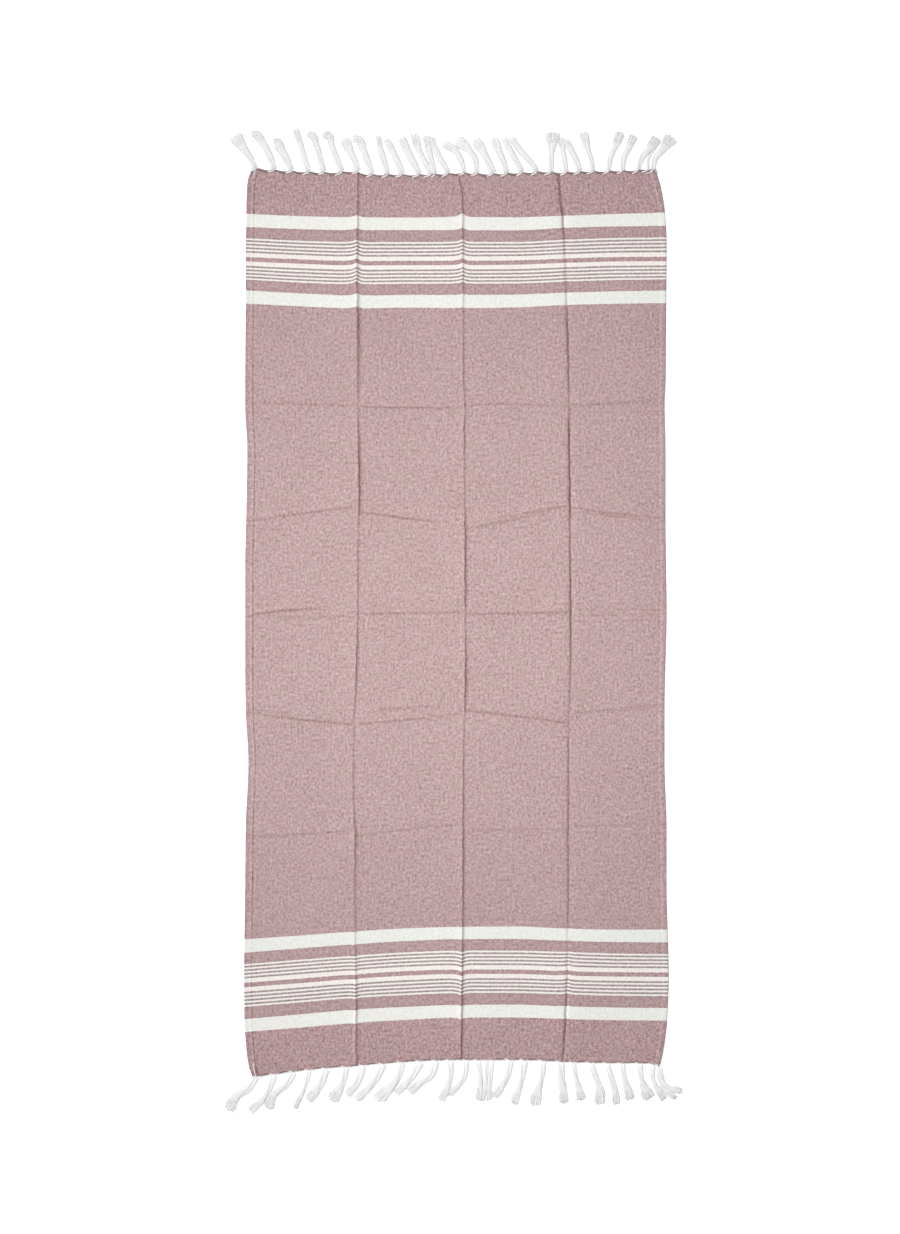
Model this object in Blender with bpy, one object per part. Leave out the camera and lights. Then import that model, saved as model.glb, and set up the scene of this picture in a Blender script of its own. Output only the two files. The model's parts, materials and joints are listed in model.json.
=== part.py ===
"""Hammam towel, laid flat and face up after it was stored folded.

The cloth is one woven sheet. It was folded in half twice across its width and
then in eighths along its length, so three long creases run from end to end and
cross creases step across the four panels between them. A comb of twisted warp
ends lies along each short edge.

X runs across the towel, Y along it, and Z is up. Z = 0 is the surface that the
towel lies on. The tables are in millimetres, and the meshes in metres.
"""

from collections import namedtuple

import bpy

MM = 0.001

# ---------------------------------------------------------------- cloth sheet
THICK = 1.5            # the woven sheet
LONG_REACH = 58.0      # how far a long crease lifts the cloth to each side
CROSS_REACH = 48.0     # how far a cross crease does
RIDGE_POWER = 2.2      # how steeply a ridge falls from its line
BLEND = 10.0           # width over which one panel's cross creases pass to the next
JUNCTION_FADE = 0.45   # share of a cross crease that is left where it meets a long one
JUNCTION_REACH = 28.0

# Outline and long creases: x of each at height y.
Side = namedtuple("Side", "y left a b c right")
SIDES = [
    Side(862, -386, -184, 12, 200, 381),
    Side(844, -392, -184, 14, 201, 389),
    Side(821, -394, -184, 16, 202, 395),
    Side(775, -395, -184, 18, 207, 402),
    Side(716, -396, -185, 18, 211, 405),
    Side(602, -396, -182, 18, 214, 404),
    Side(459, -397, -183, 20, 219, 403),
    Side(411, -397, -184, 20, 220, 401),
    Side(326, -393, -182, 20, 220, 403),
    Side(206, -395, -180, 21, 221, 403),
    Side(107, -397, -182, 22, 222, 404),
    Side(17, -397, -182, 22, 222, 405),
    Side(-74, -397, -185, 22, 221, 403),
    Side(-165, -396, -189, 21, 219, 401),
    Side(-269, -391, -192, 18, 219, 401),
    Side(-396, -396, -187, 18, 217, 405),
    Side(-503, -397, -188, 18, 217, 405),
    Side(-674, -399, -188, 17, 213, 409),
    Side(-768, -398, -186, 16, 211, 405),
    Side(-817, -395, -186, 15, 208, 398),
    Side(-850, -389, -186, 14, 207, 391),
]

# The two woven ends: y of each at distance x across.
End = namedtuple("End", "x top bottom")
ENDS = [
    End(-390, 861.9, -870.6),
    End(-350, 860.0, -866.0),
    End(-295, 857.0, -858.8),
    End(-237, 854.8, -853.0),
    End(-186, 857.4, -849.4),
    End(-177, 852.6, -848.0),
    End(-140, 850.8, -845.4),
    End(-83, 850.8, -841.2),
    End(-35, 851.2, -838.8),
    End(13, 854.2, -837.6),
    End(60, 852.3, -838.0),
    End(117, 853.8, -837.8),
    End(165, 856.1, -839.0),
    End(203, 855.0, -841.0),
    End(260, 856.9, -843.0),
    End(317, 858.0, -843.9),
    End(365, 860.0, -844.3),
    End(391, 861.0, -847.7),
]

# Long creases. a and b stand up as ridges, and c is a groove between two low rolls.
LONG_SENSE = {"a": "ridge", "b": "ridge", "c": "groove"}
LongLift = namedtuple("LongLift", "y a b c")
LONG_LIFTS = [
    LongLift(862, 9.0, 10.0, 3.0),
    LongLift(740, 9.0, 10.0, 3.0),
    LongLift(590, 7.0, 7.0, 2.5),
    LongLift(412, 4.0, 4.0, 1.8),
    LongLift(300, 7.5, 6.0, 4.0),
    LongLift(204, 4.0, 5.0, 2.0),
    LongLift(110, 6.0, 7.5, 3.5),
    LongLift(16, 4.0, 4.5, 2.0),
    LongLift(-80, 6.5, 7.0, 3.0),
    LongLift(-178, 3.0, 3.5, 1.5),
    LongLift(-290, 4.5, 6.0, 3.0),
    LongLift(-397, 4.0, 4.0, 2.0),
    LongLift(-600, 5.5, 8.0, 2.5),
    LongLift(-740, 6.5, 9.0, 2.5),
    LongLift(-862, 6.5, 9.0, 3.0),
]

# Cross creases, panel by panel from the left. Their sense changes from panel to
# panel, because the cloth was already doubled when they were made.
Cross = namedtuple("Cross", "row panel y_left y_middle y_right sense lift")
CROSS_CREASES = [
    Cross(1, 0, 415.3, 412.8, 411.5, "groove", 1.8),
    Cross(1, 1, 407.7, 406.9, 407.1, "ridge", 4.5),
    Cross(1, 2, 411.5, 413.4, 410.5, "groove", 2.2),
    Cross(1, 3, 411.9, 416.2, 419.1, "ridge", 3.5),
    Cross(2, 0, 194.3, 206.1, 218.1, "ridge", 4.0),
    Cross(2, 1, 207.6, 197.7, 190.5, "groove", 2.4),
    Cross(2, 2, 181.9, 199.1, 214.3, "ridge", 4.5),
    Cross(2, 3, 214.3, 204.8, 195.3, "groove", 1.8),
    Cross(3, 0, 14.0, 21.5, 10.5, "ridge", 5.0),
    Cross(3, 1, 15.2, 16.2, 17.1, "groove", 2.0),
    Cross(3, 2, 14.9, 15.2, 17.5, "ridge", 3.5),
    Cross(3, 3, 21.9, 21.9, 21.9, "groove", 1.2),
    Cross(4, 0, -174.3, -187.6, -195.3, "groove", 2.2),
    Cross(4, 1, -182.9, -175.3, -168.6, "ridge", 5.0),
    Cross(4, 2, -169.5, -181.0, -191.5, "groove", 2.4),
    Cross(4, 3, -176.2, -166.7, -159.1, "ridge", 3.5),
    Cross(5, 0, -407.7, -402.9, -397.2, "ridge", 3.0),
    Cross(5, 1, -405.8, -395.3, -390.5, "groove", 1.5),
    Cross(5, 2, -399.1, -395.1, -394.3, "ridge", 3.0),
    Cross(5, 3, -388.6, -388.2, -385.8, "groove", 1.2),
]
ROWS = 5
PANELS = 4

# Where the sheet's mesh is cut within a panel, within a band between two cross
# creases, and within the long band from a woven end to the first cross crease.
ACROSS = [0.0, 0.03, 0.11, 0.30, 0.70, 0.89, 0.97, 1.0]
ALONG = [0.0, 0.03, 0.11, 0.30, 0.70, 0.89, 0.97, 1.0]
FROM_END = [0.0, 0.015, 0.06, 0.16, 0.30, 0.50, 0.70, 0.86, 0.95, 0.985, 1.0]

# -------------------------------------------------------------------- fringes
GAP = 0.3              # air between the cloth's end and the comb
HEAD_DEPTH = 3.5       # the comb's heading, where the warp leaves the weave
HEAD_HEIGHT = 2.4
CORD_FLATNESS = 0.66   # a cord's height for its width, as it lies
TIP_HEIGHT = 4.6       # height of the loose tip past the twist
SETTLE = 0.5           # share of a cord's length over which it comes down to the surface

# One row for each twisted bundle, from the left. root: x where it leaves the
# cloth; reach: how far it goes out from the edge; lean: how far its tip is to
# the right of its root; bow: how far its middle is to the right of a straight
# line; cord and tip: widths.
Cord = namedtuple("Cord", "root reach lean bow cord tip")
TOP_CORDS = [
    Cord(-379, 57, -35, 3, 11.0, 23.0),
    Cord(-343, 64, -35, 6, 12.0, 16.0),
    Cord(-310, 52, -30, 0, 12.0, 18.0),
    Cord(-277, 76, -21, -2, 9.0, 10.0),
    Cord(-248, 69, -24, 2, 9.0, 14.0),
    Cord(-214, 68, -24, -3, 9.0, 14.0),
    Cord(-184, 57, -25, 1, 11.0, 18.0),
    Cord(-157, 61, -25, 0, 10.0, 14.0),
    Cord(-128, 70, -16, -2, 10.0, 9.5),
    Cord(-100, 62, -27, 1, 11.0, 13.5),
    Cord(-69, 65, -30, -1, 11.0, 15.0),
    Cord(-46, 71, -30, -5, 8.6, 13.5),
    Cord(-35, 68, -22, -2, 7.0, 8.0),
    Cord(-12, 69, -31, -1, 9.0, 11.0),
    Cord(19, 58, -33, 11, 8.5, 14.0),
    Cord(43, 62, -30, 8, 9.0, 19.0),
    Cord(73, 59, -27, 0, 11.0, 17.0),
    Cord(101, 62, -22, 0, 10.0, 14.0),
    Cord(129, 64, -31, 0, 9.0, 10.5),
    Cord(157, 62, -40, 2, 9.5, 10.5),
    Cord(184, 70, 3, -2, 7.5, 21.0),
    Cord(213, 61, -7.5, 0, 7.5, 8.0),
    Cord(239, 60, -23, 2, 9.0, 11.0),
    Cord(265, 70, -14, 0, 8.5, 16.0),
    Cord(294, 69, 21, -3, 9.0, 14.0),
    Cord(321, 62, 21, -6, 9.0, 14.0),
    Cord(351, 57, 30, -5, 10.5, 14.0),
    Cord(367, 50, 23, -6, 5.0, 7.5),
    Cord(377, 55, 31, -5, 9.0, 20.0),
]
BOTTOM_CORDS = [
    Cord(-376, 52, -47, -2, 12.5, 20.0),
    Cord(-342, 61, -41, 6, 11.0, 14.5),
    Cord(-306, 60, -43, -4, 11.0, 16.0),
    Cord(-275, 66, -26, 0, 8.5, 8.5),
    Cord(-243, 52, -31, 2, 12.5, 16.0),
    Cord(-205, 56, -28, 1, 11.0, 19.5),
    Cord(-172, 49, -26, -1, 11.0, 14.0),
    Cord(-133, 60, -45, 1, 11.0, 14.0),
    Cord(-98, 62, -39, 5, 11.0, 21.0),
    Cord(-64, 52, -41, 2, 11.0, 12.5),
    Cord(-33, 52, -45, 4, 10.5, 16.0),
    Cord(-7, 66, -15, 6, 9.0, 14.0),
    Cord(24, 57, -27, 7, 9.0, 12.5),
    Cord(46, 65, -2, 4, 8.0, 9.5),
    Cord(61, 65, -5, 1, 7.0, 8.5),
    Cord(76, 65, -9, -1, 8.0, 8.5),
    Cord(108, 64, -30, 3, 12.0, 13.0),
    Cord(135, 73, -19, 2, 10.0, 13.5),
    Cord(171, 75, -16, 1, 9.0, 22.0),
    Cord(204, 71, 8, -4, 11.5, 16.0),
    Cord(228, 63, 14, -2, 9.0, 14.0),
    Cord(261, 69, 18, 5, 10.0, 19.0),
    Cord(293, 69, 17, 2, 10.0, 12.5),
    Cord(321, 62, 14, -3, 9.0, 16.0),
    Cord(351, 61, 18, -3, 9.0, 18.0),
    Cord(376, 60, 20, -6, 7.0, 11.0),
    Cord(384.5, 53, 34, -6, 5.0, 8.0),
    Cord(390.5, 41, 42, -6, 4.4, 7.5),
]

# How a cord changes along its length: share of the reach, width as a mix of
# cord (0) and tip (1), share of the cord's full height, and how far its height
# has gone over to that of the loose tip.
Station = namedtuple("Station", "along to_tip full to_tip_height")
CORD_STATIONS = [
    Station(0.16, 0.0, 0.92, 0.0),
    Station(0.50, 0.05, 1.0, 0.0),
    Station(0.80, 0.30, 1.0, 0.4),
    Station(1.00, 1.0, 0.75, 1.0),
]
# A cord's cross-section: flat below, round above (across, up), as shares.
SECTION = [(-0.28, 0.0), (0.28, 0.0), (0.50, 0.45), (0.27, 1.0), (-0.27, 1.0), (-0.50, 0.45)]


# ------------------------------------------------------------------ functions
def mix(a, b, t):
    return a + (b - a) * t


def ease(t):
    t = min(1.0, max(0.0, t))
    return t * t * (3.0 - 2.0 * t)


def look_up(table, key, at, column, smooth=False):
    """The column's value where the key column passes the value at."""
    rows = sorted(table, key=lambda row: getattr(row, key))
    if at <= getattr(rows[0], key):
        return getattr(rows[0], column)
    for low, high in zip(rows, rows[1:]):
        k0, k1 = getattr(low, key), getattr(high, key)
        if at <= k1:
            t = (at - k0) / (k1 - k0)
            return mix(getattr(low, column), getattr(high, column), ease(t) if smooth else t)
    return getattr(rows[-1], column)


LINES = ("left", "a", "b", "c", "right")


def line_x(line, y):
    """x of a selvedge (0 and 4) or a long crease (1 to 3) at height y."""
    return look_up(SIDES, "y", y, LINES[line])


def cross_y(row, panel, u):
    """y of a cross crease at share u across its panel."""
    for crease in CROSS_CREASES:
        if crease.row == row and crease.panel == panel:
            u = min(1.0, max(0.0, u))
            return (
                crease.y_left * (1 - u) * (1 - 2 * u)
                + crease.y_middle * 4 * u * (1 - u)
                + crease.y_right * u * (2 * u - 1)
            )


def ridge(distance, reach):
    share = abs(distance) / reach
    return (1.0 - share) ** RIDGE_POWER if share < 1.0 else 0.0


def groove(distance, reach):
    """Two low rolls with the crease line down between them."""
    share = abs(distance) / reach
    return 4.0 * share ** 0.8 * (1.0 - share) ** 2.2 if share < 1.0 else 0.0


PROFILE = {"ridge": ridge, "groove": groove}


def relief(x, y):
    """Height of the cloth's underside over the surface at a point."""
    height = 0.0
    for line in (1, 2, 3):
        name = LINES[line]
        away = x - line_x(line, y)
        lift = look_up(LONG_LIFTS, "y", y, name, smooth=True)
        height += lift * PROFILE[LONG_SENSE[name]](away, LONG_REACH)
    lines = [line_x(line, y) for line in range(PANELS + 1)]
    for crease in CROSS_CREASES:
        left, right = lines[crease.panel], lines[crease.panel + 1]
        share = 1.0
        if crease.panel > 0:
            share *= ease((x - left) / BLEND / 2 + 0.5)
        if crease.panel < PANELS - 1:
            share *= ease((right - x) / BLEND / 2 + 0.5)
        if share <= 0.0:
            continue
        for edge in lines[1:-1]:
            near = 1.0 - ease(abs(x - edge) / JUNCTION_REACH)
            share *= 1.0 - (1.0 - JUNCTION_FADE) * near
        u = (x - left) / (right - left)
        away = y - cross_y(crease.row, crease.panel, u)
        height += crease.lift * share * PROFILE[crease.sense](away, CROSS_REACH)
    return height


def columns():
    """(panel, share) of each line of the sheet's mesh, from left to right."""
    found = [(0, 0.0)]
    for panel in range(PANELS):
        found += [(panel, u) for u in ACROSS[1:]]
    return found


def column_x(column, y):
    panel, u = column
    return mix(line_x(panel, y), line_x(panel + 1, y), u)


def level_y(level, column):
    """y of the top end (0), a cross crease (1 to 5) or the bottom end (6)."""
    panel, u = column
    if level == 0:
        return look_up(ENDS, "x", column_x(column, SIDES[0].y), "top")
    if level == ROWS + 1:
        return look_up(ENDS, "x", column_x(column, SIDES[-1].y), "bottom")
    own = cross_y(level, panel, u)
    if u == 1.0 and panel < PANELS - 1:
        return (own + cross_y(level, panel + 1, 0.0)) / 2
    return own


def sheet_points():
    """Rows of (x, y, z) of the cloth's underside, from the top end down."""
    cuts = [(0, t) for t in FROM_END]
    for level in range(1, ROWS):
        cuts += [(level, t) for t in ALONG[1:]]
    cuts += [(ROWS, 1.0 - t) for t in reversed(FROM_END[:-1])]
    rows = []
    for level, t in cuts:
        row = []
        for column in columns():
            y = mix(level_y(level, column), level_y(level + 1, column), t)
            x = column_x(column, y)
            row.append((x, y, relief(x, y)))
        rows.append(row)
    return rows


def sheet(rows):
    """The closed sheet: its underside, its face THICK above, and the four edges."""
    down, across = len(rows), len(rows[0])
    points = [p for row in rows for p in row]
    points += [(x, y, z + THICK) for row in rows for x, y, z in row]
    top = down * across
    faces = []
    for i in range(down - 1):
        for j in range(across - 1):
            k = i * across + j
            faces.append((k, k + 1, k + across + 1, k + across))
            faces.append((top + k, top + k + across, top + k + across + 1, top + k + 1))
    rim = [j for j in range(across)]
    rim += [i * across + across - 1 for i in range(1, down)]
    rim += [(down - 1) * across + j for j in range(across - 2, -1, -1)]
    rim += [i * across for i in range(down - 2, 0, -1)]
    for here, there in zip(rim, rim[1:] + rim[:1]):
        faces.append((there, here, top + here, top + there))
    return points, faces


def edge_at(edge, x):
    """(y, z) on the cloth's end at x, along the straight runs of its mesh."""
    for (x0, y0, z0), (x1, y1, z1) in zip(edge, edge[1:]):
        if x <= x1:
            t = (x - x0) / (x1 - x0)
            return mix(y0, y1, t), mix(z0, z1, t)
    (x0, y0, z0), (x1, y1, z1) = edge[-2:]
    t = (x - x0) / (x1 - x0)
    return mix(y0, y1, t), mix(z0, z1, t)


def comb(edge, cords, out):
    """A heading along the cloth's end with one tooth for each twisted bundle.
    out is 1 for the top end and -1 for the bottom one."""
    points, faces = [], []

    def add(x, y, z):
        points.append((x, y, z))
        return len(points) - 1

    def face(*corners):
        faces.append(corners if out > 0 else corners[::-1])

    # The inner side follows the cloth's own corners, so the air between stays even.
    inner = []
    for x, y, z in edge:
        inner.append((x, add(x, y + out * GAP, z), add(x, y + out * GAP, z + HEAD_HEIGHT)))
    # The outer side is cut at both sides of each tooth.
    stations = [edge[0][0]]
    for cord in cords:
        stations += [cord.root - cord.cord / 2, cord.root + cord.cord / 2]
    if stations[-1] < edge[-1][0] - 0.5:
        stations.append(edge[-1][0])
    outer = []
    for x in stations:
        y, z = edge_at(edge, x)
        y += out * (GAP + HEAD_DEPTH)
        outer.append((x, add(x, y, z), add(x, y, z + HEAD_HEIGHT)))

    for (_, a0, a1), (_, b0, b1) in zip(inner, inner[1:]):
        face(a0, b0, b1, a1)
    for side, flip in ((1, False), (2, True)):
        i = j = 0
        while i < len(inner) - 1 or j < len(outer) - 1:
            if j == len(outer) - 1 or (
                i < len(inner) - 1 and inner[i + 1][0] <= outer[j + 1][0]
            ):
                corners = (inner[i][side], outer[j][side], inner[i + 1][side])
                i += 1
            else:
                corners = (inner[i][side], outer[j][side], outer[j + 1][side])
                j += 1
            face(*(corners[::-1] if flip else corners))
    face(inner[0][1], inner[0][2], outer[0][2], outer[0][1])
    face(inner[-1][1], outer[-1][1], outer[-1][2], inner[-1][2])

    toothed = {1 + 2 * n: cord for n, cord in enumerate(cords)}
    for k in range(len(outer) - 1):
        left, right = outer[k], outer[k + 1]
        if k not in toothed:
            face(left[1], left[2], right[2], right[1])
            continue
        cord = toothed[k]
        y0, z0 = edge_at(edge, cord.root)
        y0 += out * (GAP + HEAD_DEPTH)
        reach = cord.reach - HEAD_DEPTH
        # The root ring is the heading's own wall, with a point half-way up each side.
        ring = [left[1], right[1], right[2], left[2]]
        last = None
        for station in CORD_STATIONS:
            f = station.along
            x = cord.root + cord.lean * f + 4 * cord.bow * f * (1 - f)
            y = y0 + out * reach * f
            slope_x = cord.lean + 4 * cord.bow * (1 - 2 * f)
            length = (slope_x ** 2 + reach ** 2) ** 0.5
            side_x, side_y = reach / length, -out * slope_x / length
            width = mix(cord.cord, cord.tip, station.to_tip)
            height = mix(cord.cord * CORD_FLATNESS, TIP_HEIGHT, station.to_tip_height) * station.full
            base = z0 * (1.0 - ease(f / SETTLE))
            new = [
                add(x + side_x * s * width, y + side_y * s * width, base + up * height)
                for s, up in SECTION
            ]
            if last is None:
                face(ring[1], ring[0], new[0], new[1])
                face(ring[2], ring[1], new[1], new[2])
                face(ring[2], new[2], new[3])
                face(ring[3], ring[2], new[3], new[4])
                face(ring[3], new[4], new[5])
                face(ring[0], ring[3], new[5], new[0])
            else:
                for m in range(6):
                    n = (m + 1) % 6
                    face(last[n], last[m], new[m], new[n])
            last = new
        face(*last[::-1])
    return points, faces


def build(name, mesh_parts, shift, colour, roughness):
    points, faces = mesh_parts
    mesh = bpy.data.meshes.new(name)
    mesh.from_pydata(
        [tuple((value - move) * MM for value, move in zip(p, shift)) for p in points], [], faces
    )
    mesh.update()
    mesh.validate()
    piece = bpy.data.objects.new(name, mesh)
    bpy.context.scene.collection.objects.link(piece)
    material = bpy.data.materials.new(name + "_material")
    material.use_nodes = True
    shader = material.node_tree.nodes["Principled BSDF"]
    shader.inputs["Base Color"].default_value = (*colour, 1.0)
    shader.inputs["Roughness"].default_value = roughness
    mesh.materials.append(material)
    return piece


def main():
    for old in list(bpy.data.objects):
        bpy.data.objects.remove(old, do_unlink=True)
    rows = sheet_points()
    pieces = {
        "towel_cloth": sheet(rows),
        "fringe_top": comb(rows[0], TOP_CORDS, 1),
        "fringe_bottom": comb(rows[-1], BOTTOM_CORDS, -1),
    }
    every = [p for points, _ in pieces.values() for p in points]
    low = [min(p[axis] for p in every) for axis in range(3)]
    high = [max(p[axis] for p in every) for axis in range(3)]
    shift = ((low[0] + high[0]) / 2, (low[1] + high[1]) / 2, low[2])
    colours = {
        "towel_cloth": (0.52, 0.36, 0.37),
        "fringe_top": (0.83, 0.84, 0.85),
        "fringe_bottom": (0.83, 0.84, 0.85),
    }
    for name, parts in pieces.items():
        build(name, parts, shift, colours[name], 0.9)


main()
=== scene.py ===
"""Hammam towel, laid flat and seen from above.

One woven cloth with its storage creases, stripes and selvedges, and a fringe of
twisted cords at each end. The tables were measured in the view's own units,
across and down from its upper left corner. A unit is 1.905 mm at the surface that
the towel lies on. Every other length is in millimetres until a mesh is made.
"""

import json
import math
from collections import namedtuple

import bpy
import numpy as np
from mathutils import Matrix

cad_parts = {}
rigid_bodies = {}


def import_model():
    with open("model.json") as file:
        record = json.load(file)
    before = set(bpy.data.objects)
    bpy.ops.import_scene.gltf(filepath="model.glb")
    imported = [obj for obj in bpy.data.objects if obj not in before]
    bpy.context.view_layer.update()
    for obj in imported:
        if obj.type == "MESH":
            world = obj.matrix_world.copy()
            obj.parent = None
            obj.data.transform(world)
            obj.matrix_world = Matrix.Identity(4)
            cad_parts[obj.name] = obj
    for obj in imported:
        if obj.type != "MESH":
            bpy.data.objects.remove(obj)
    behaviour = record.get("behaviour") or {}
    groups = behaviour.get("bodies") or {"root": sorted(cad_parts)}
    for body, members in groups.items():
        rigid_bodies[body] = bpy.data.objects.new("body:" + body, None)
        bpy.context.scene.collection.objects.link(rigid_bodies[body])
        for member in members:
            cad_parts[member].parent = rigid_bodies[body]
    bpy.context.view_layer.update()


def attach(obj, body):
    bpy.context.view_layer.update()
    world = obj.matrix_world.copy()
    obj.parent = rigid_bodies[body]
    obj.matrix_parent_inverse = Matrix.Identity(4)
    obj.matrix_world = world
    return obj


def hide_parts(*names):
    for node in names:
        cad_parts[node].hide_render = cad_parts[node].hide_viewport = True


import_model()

MM = 0.001
UNIT = 1.905
VIEW_HEIGHT = 2200.0           # the camera over the surface
VIEW_MIDDLE = (450.0, 617.0)   # the middle of the view, in units
VIEW_TALL = 1234.0             # its height, in units
random = np.random.default_rng(1729)


def frame_x(across):
    return (np.asarray(across, float) - 453.5) * UNIT - 1.7798


def frame_y(down):
    return (621.0 - np.asarray(down, float)) * UNIT - 1.0414


VIEW_X = float(frame_x(VIEW_MIDDLE[0]))
VIEW_Y = float(frame_y(VIEW_MIDDLE[1]))


def place(across, down, height):
    """Millimetres of a point at that height which is seen at (across, down)."""
    near = 1.0 - np.asarray(height, float) / VIEW_HEIGHT
    return (
        VIEW_X + (frame_x(across) - VIEW_X) * near,
        VIEW_Y + (frame_y(down) - VIEW_Y) * near,
    )


# ==================================================================== tables
THICK = 1.3          # the woven sheet
EDGE_THICK = 0.7     # where it thins at its rim

Side = namedtuple("Side", "down left right")
SELVEDGES = [
    Side(168.5, 252.6, 653.9), Side(172, 250.8, 655.7), Side(178, 248.3, 658.2), Side(190, 246.8, 661.4),
    Side(214, 246.2, 665.0), Side(245, 245.6, 666.6), Side(305, 245.6, 666.2),
    Side(380, 245.1, 665.6), Side(405, 245.1, 664.6), Side(450, 247.2, 665.5),
    Side(513, 246.2, 665.5), Side(565, 245.1, 666.0), Side(612, 245.1, 666.6),
    Side(660, 245.1, 665.5), Side(708, 245.6, 664.5), Side(762, 248.3, 664.5),
    Side(829, 245.6, 666.5), Side(885, 245.1, 666.5), Side(975, 244.0, 668.7),
    Side(1024, 244.5, 666.8), Side(1040, 245.6, 665.0), Side(1050, 246.4, 663.4), Side(1060, 247.7, 661.3),
    Side(1067, 249.0, 659.6), Side(1077, 252.6, 657.4),
]

End = namedtuple("End", "x top bottom")     # millimetres from the middle
ENDS = [
    End(-390, 861.9, -870.6), End(-350, 860.0, -866.0), End(-295, 857.0, -858.8),
    End(-237, 854.8, -853.0), End(-186, 857.4, -849.4), End(-177, 852.6, -848.0),
    End(-140, 850.8, -845.4), End(-83, 850.8, -841.2), End(-35, 851.2, -838.8),
    End(13, 854.2, -837.6), End(60, 852.3, -838.0), End(117, 853.8, -837.8),
    End(165, 856.1, -839.0), End(203, 855.0, -841.0), End(260, 856.9, -843.0),
    End(317, 858.0, -843.9), End(365, 860.0, -844.3), End(391, 861.0, -847.7),
]

# Long creases from the top. across is the fold's own line; a and b stand up and fall
# away steeply on their right, and c is a groove that is steep on its left. drop sets
# the fold's height and the shade painted along it, and light is a highlight painted
# on the cloth beside it.
Long = namedtuple("Long", "down across drop width light", defaults=[0.0])
LONG = {
    "a": [
        Long(168, 357.0, 2.6, 4.0), Long(214, 356.7, 2.6, 4.0), Long(250, 356.3, 3.1, 4.3),
        Long(290, 356.1, 2.9, 5.8), Long(320, 356.2, 4.6, 7.2), Long(346, 356.3, 3.6, 7.2),
        Long(382, 356.3, 2.9, 6.4), Long(406, 356.7, 1.6, 4.3), Long(430, 357.2, 3.2, 4.0),
        Long(466, 357.8, 5.0, 4.3), Long(502, 358.1, 5.0, 4.3), Long(524, 357.3, 1.6, 4.0),
        Long(562, 356.8, 2.4, 4.0), Long(598, 356.9, 2.3, 3.6), Long(622, 356.7, 2.4, 3.3),
        Long(656, 355.8, 3.9, 3.3), Long(694, 354.6, 2.6, 3.3), Long(720, 352.9, 1.3, 3.3),
        Long(766, 352.3, 1.7, 3.3), Long(800, 352.6, 1.9, 3.3), Long(838, 354.3, 3.4, 4.3),
        Long(870, 353.5, 2.1, 5.0), Long(900, 353.5, 1.9, 5.0), Long(934, 353.9, 1.6, 4.6),
        Long(976, 355.0, 2.3, 4.3, 0.3), Long(1010, 355.2, 3.1, 4.6, 0.8), Long(1064, 355.2, 2.2, 4.6, 0.8),
    ],
    "b": [
        Long(168, 457.1, 1.5, 3.4), Long(178, 458.2, 2.0, 3.4), Long(186, 459.9, 2.4, 3.4),
        Long(198, 461.3, 2.6, 3.4), Long(214, 461.8, 2.7, 3.4), Long(286, 462.3, 2.2, 3.4),
        Long(320, 462.4, 1.6, 3.4), Long(382, 462.6, 2.5, 3.4), Long(406, 464.2, 1.9, 3.1),
        Long(430, 463.4, 3.0, 2.9), Long(466, 463.5, 1.9, 2.9), Long(502, 463.8, 1.7, 3.1),
        Long(530, 464.2, 3.9, 3.6), Long(562, 464.2, 4.0, 3.7), Long(598, 464.2, 4.0, 3.7),
        Long(622, 464.4, 1.5, 3.4), Long(646, 464.6, 3.0, 3.7), Long(680, 464.5, 4.2, 3.7),
        Long(696, 464.2, 4.1, 3.5), Long(718, 463.6, 1.5, 3.1), Long(742, 462.6, 1.8, 3.1),
        Long(790, 462.4, 2.9, 3.1), Long(826, 462.2, 3.3, 3.1), Long(862, 462.2, 3.9, 2.9),
        Long(900, 462.1, 3.1, 3.0), Long(958, 461.6, 3.7, 3.1), Long(1020, 460.8, 4.0, 3.3),
        Long(1064, 460.2, 2.8, 3.3),
    ],
    "c": [
        Long(168, 559.5, 3.4, 4.8), Long(190, 560.7, 3.6, 4.8), Long(214, 563.5, 4.5, 4.7),
        Long(250, 565.7, 2.1, 4.5), Long(300, 567.4, 2.2, 4.3), Long(334, 568.7, 4.3, 4.3),
        Long(382, 569.6, 3.0, 3.6), Long(406, 570.1, 1.6, 3.6), Long(430, 569.9, 5.0, 3.4),
        Long(466, 570.3, 4.8, 3.4), Long(502, 570.8, 5.4, 3.4), Long(526, 570.8, 2.8, 3.6),
        Long(562, 571.1, 3.5, 3.6), Long(598, 571.5, 4.6, 3.4), Long(646, 571.6, 3.7, 3.4),
        Long(694, 570.7, 2.2, 3.6), Long(718, 569.8, 1.1, 3.6), Long(754, 569.3, 2.9, 3.6),
        Long(814, 569.2, 2.8, 3.6), Long(838, 568.9, 3.0, 3.8), Long(886, 569.4, 2.2, 4.1),
        Long(910, 569.1, 2.5, 4.1), Long(934, 568.5, 1.0, 4.1), Long(970, 567.9, 1.9, 4.0, 0.3),
        Long(1030, 565.9, 3.8, 4.1, 0.6), Long(1064, 563.3, 2.2, 4.1, 0.6),
    ],
}

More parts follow.
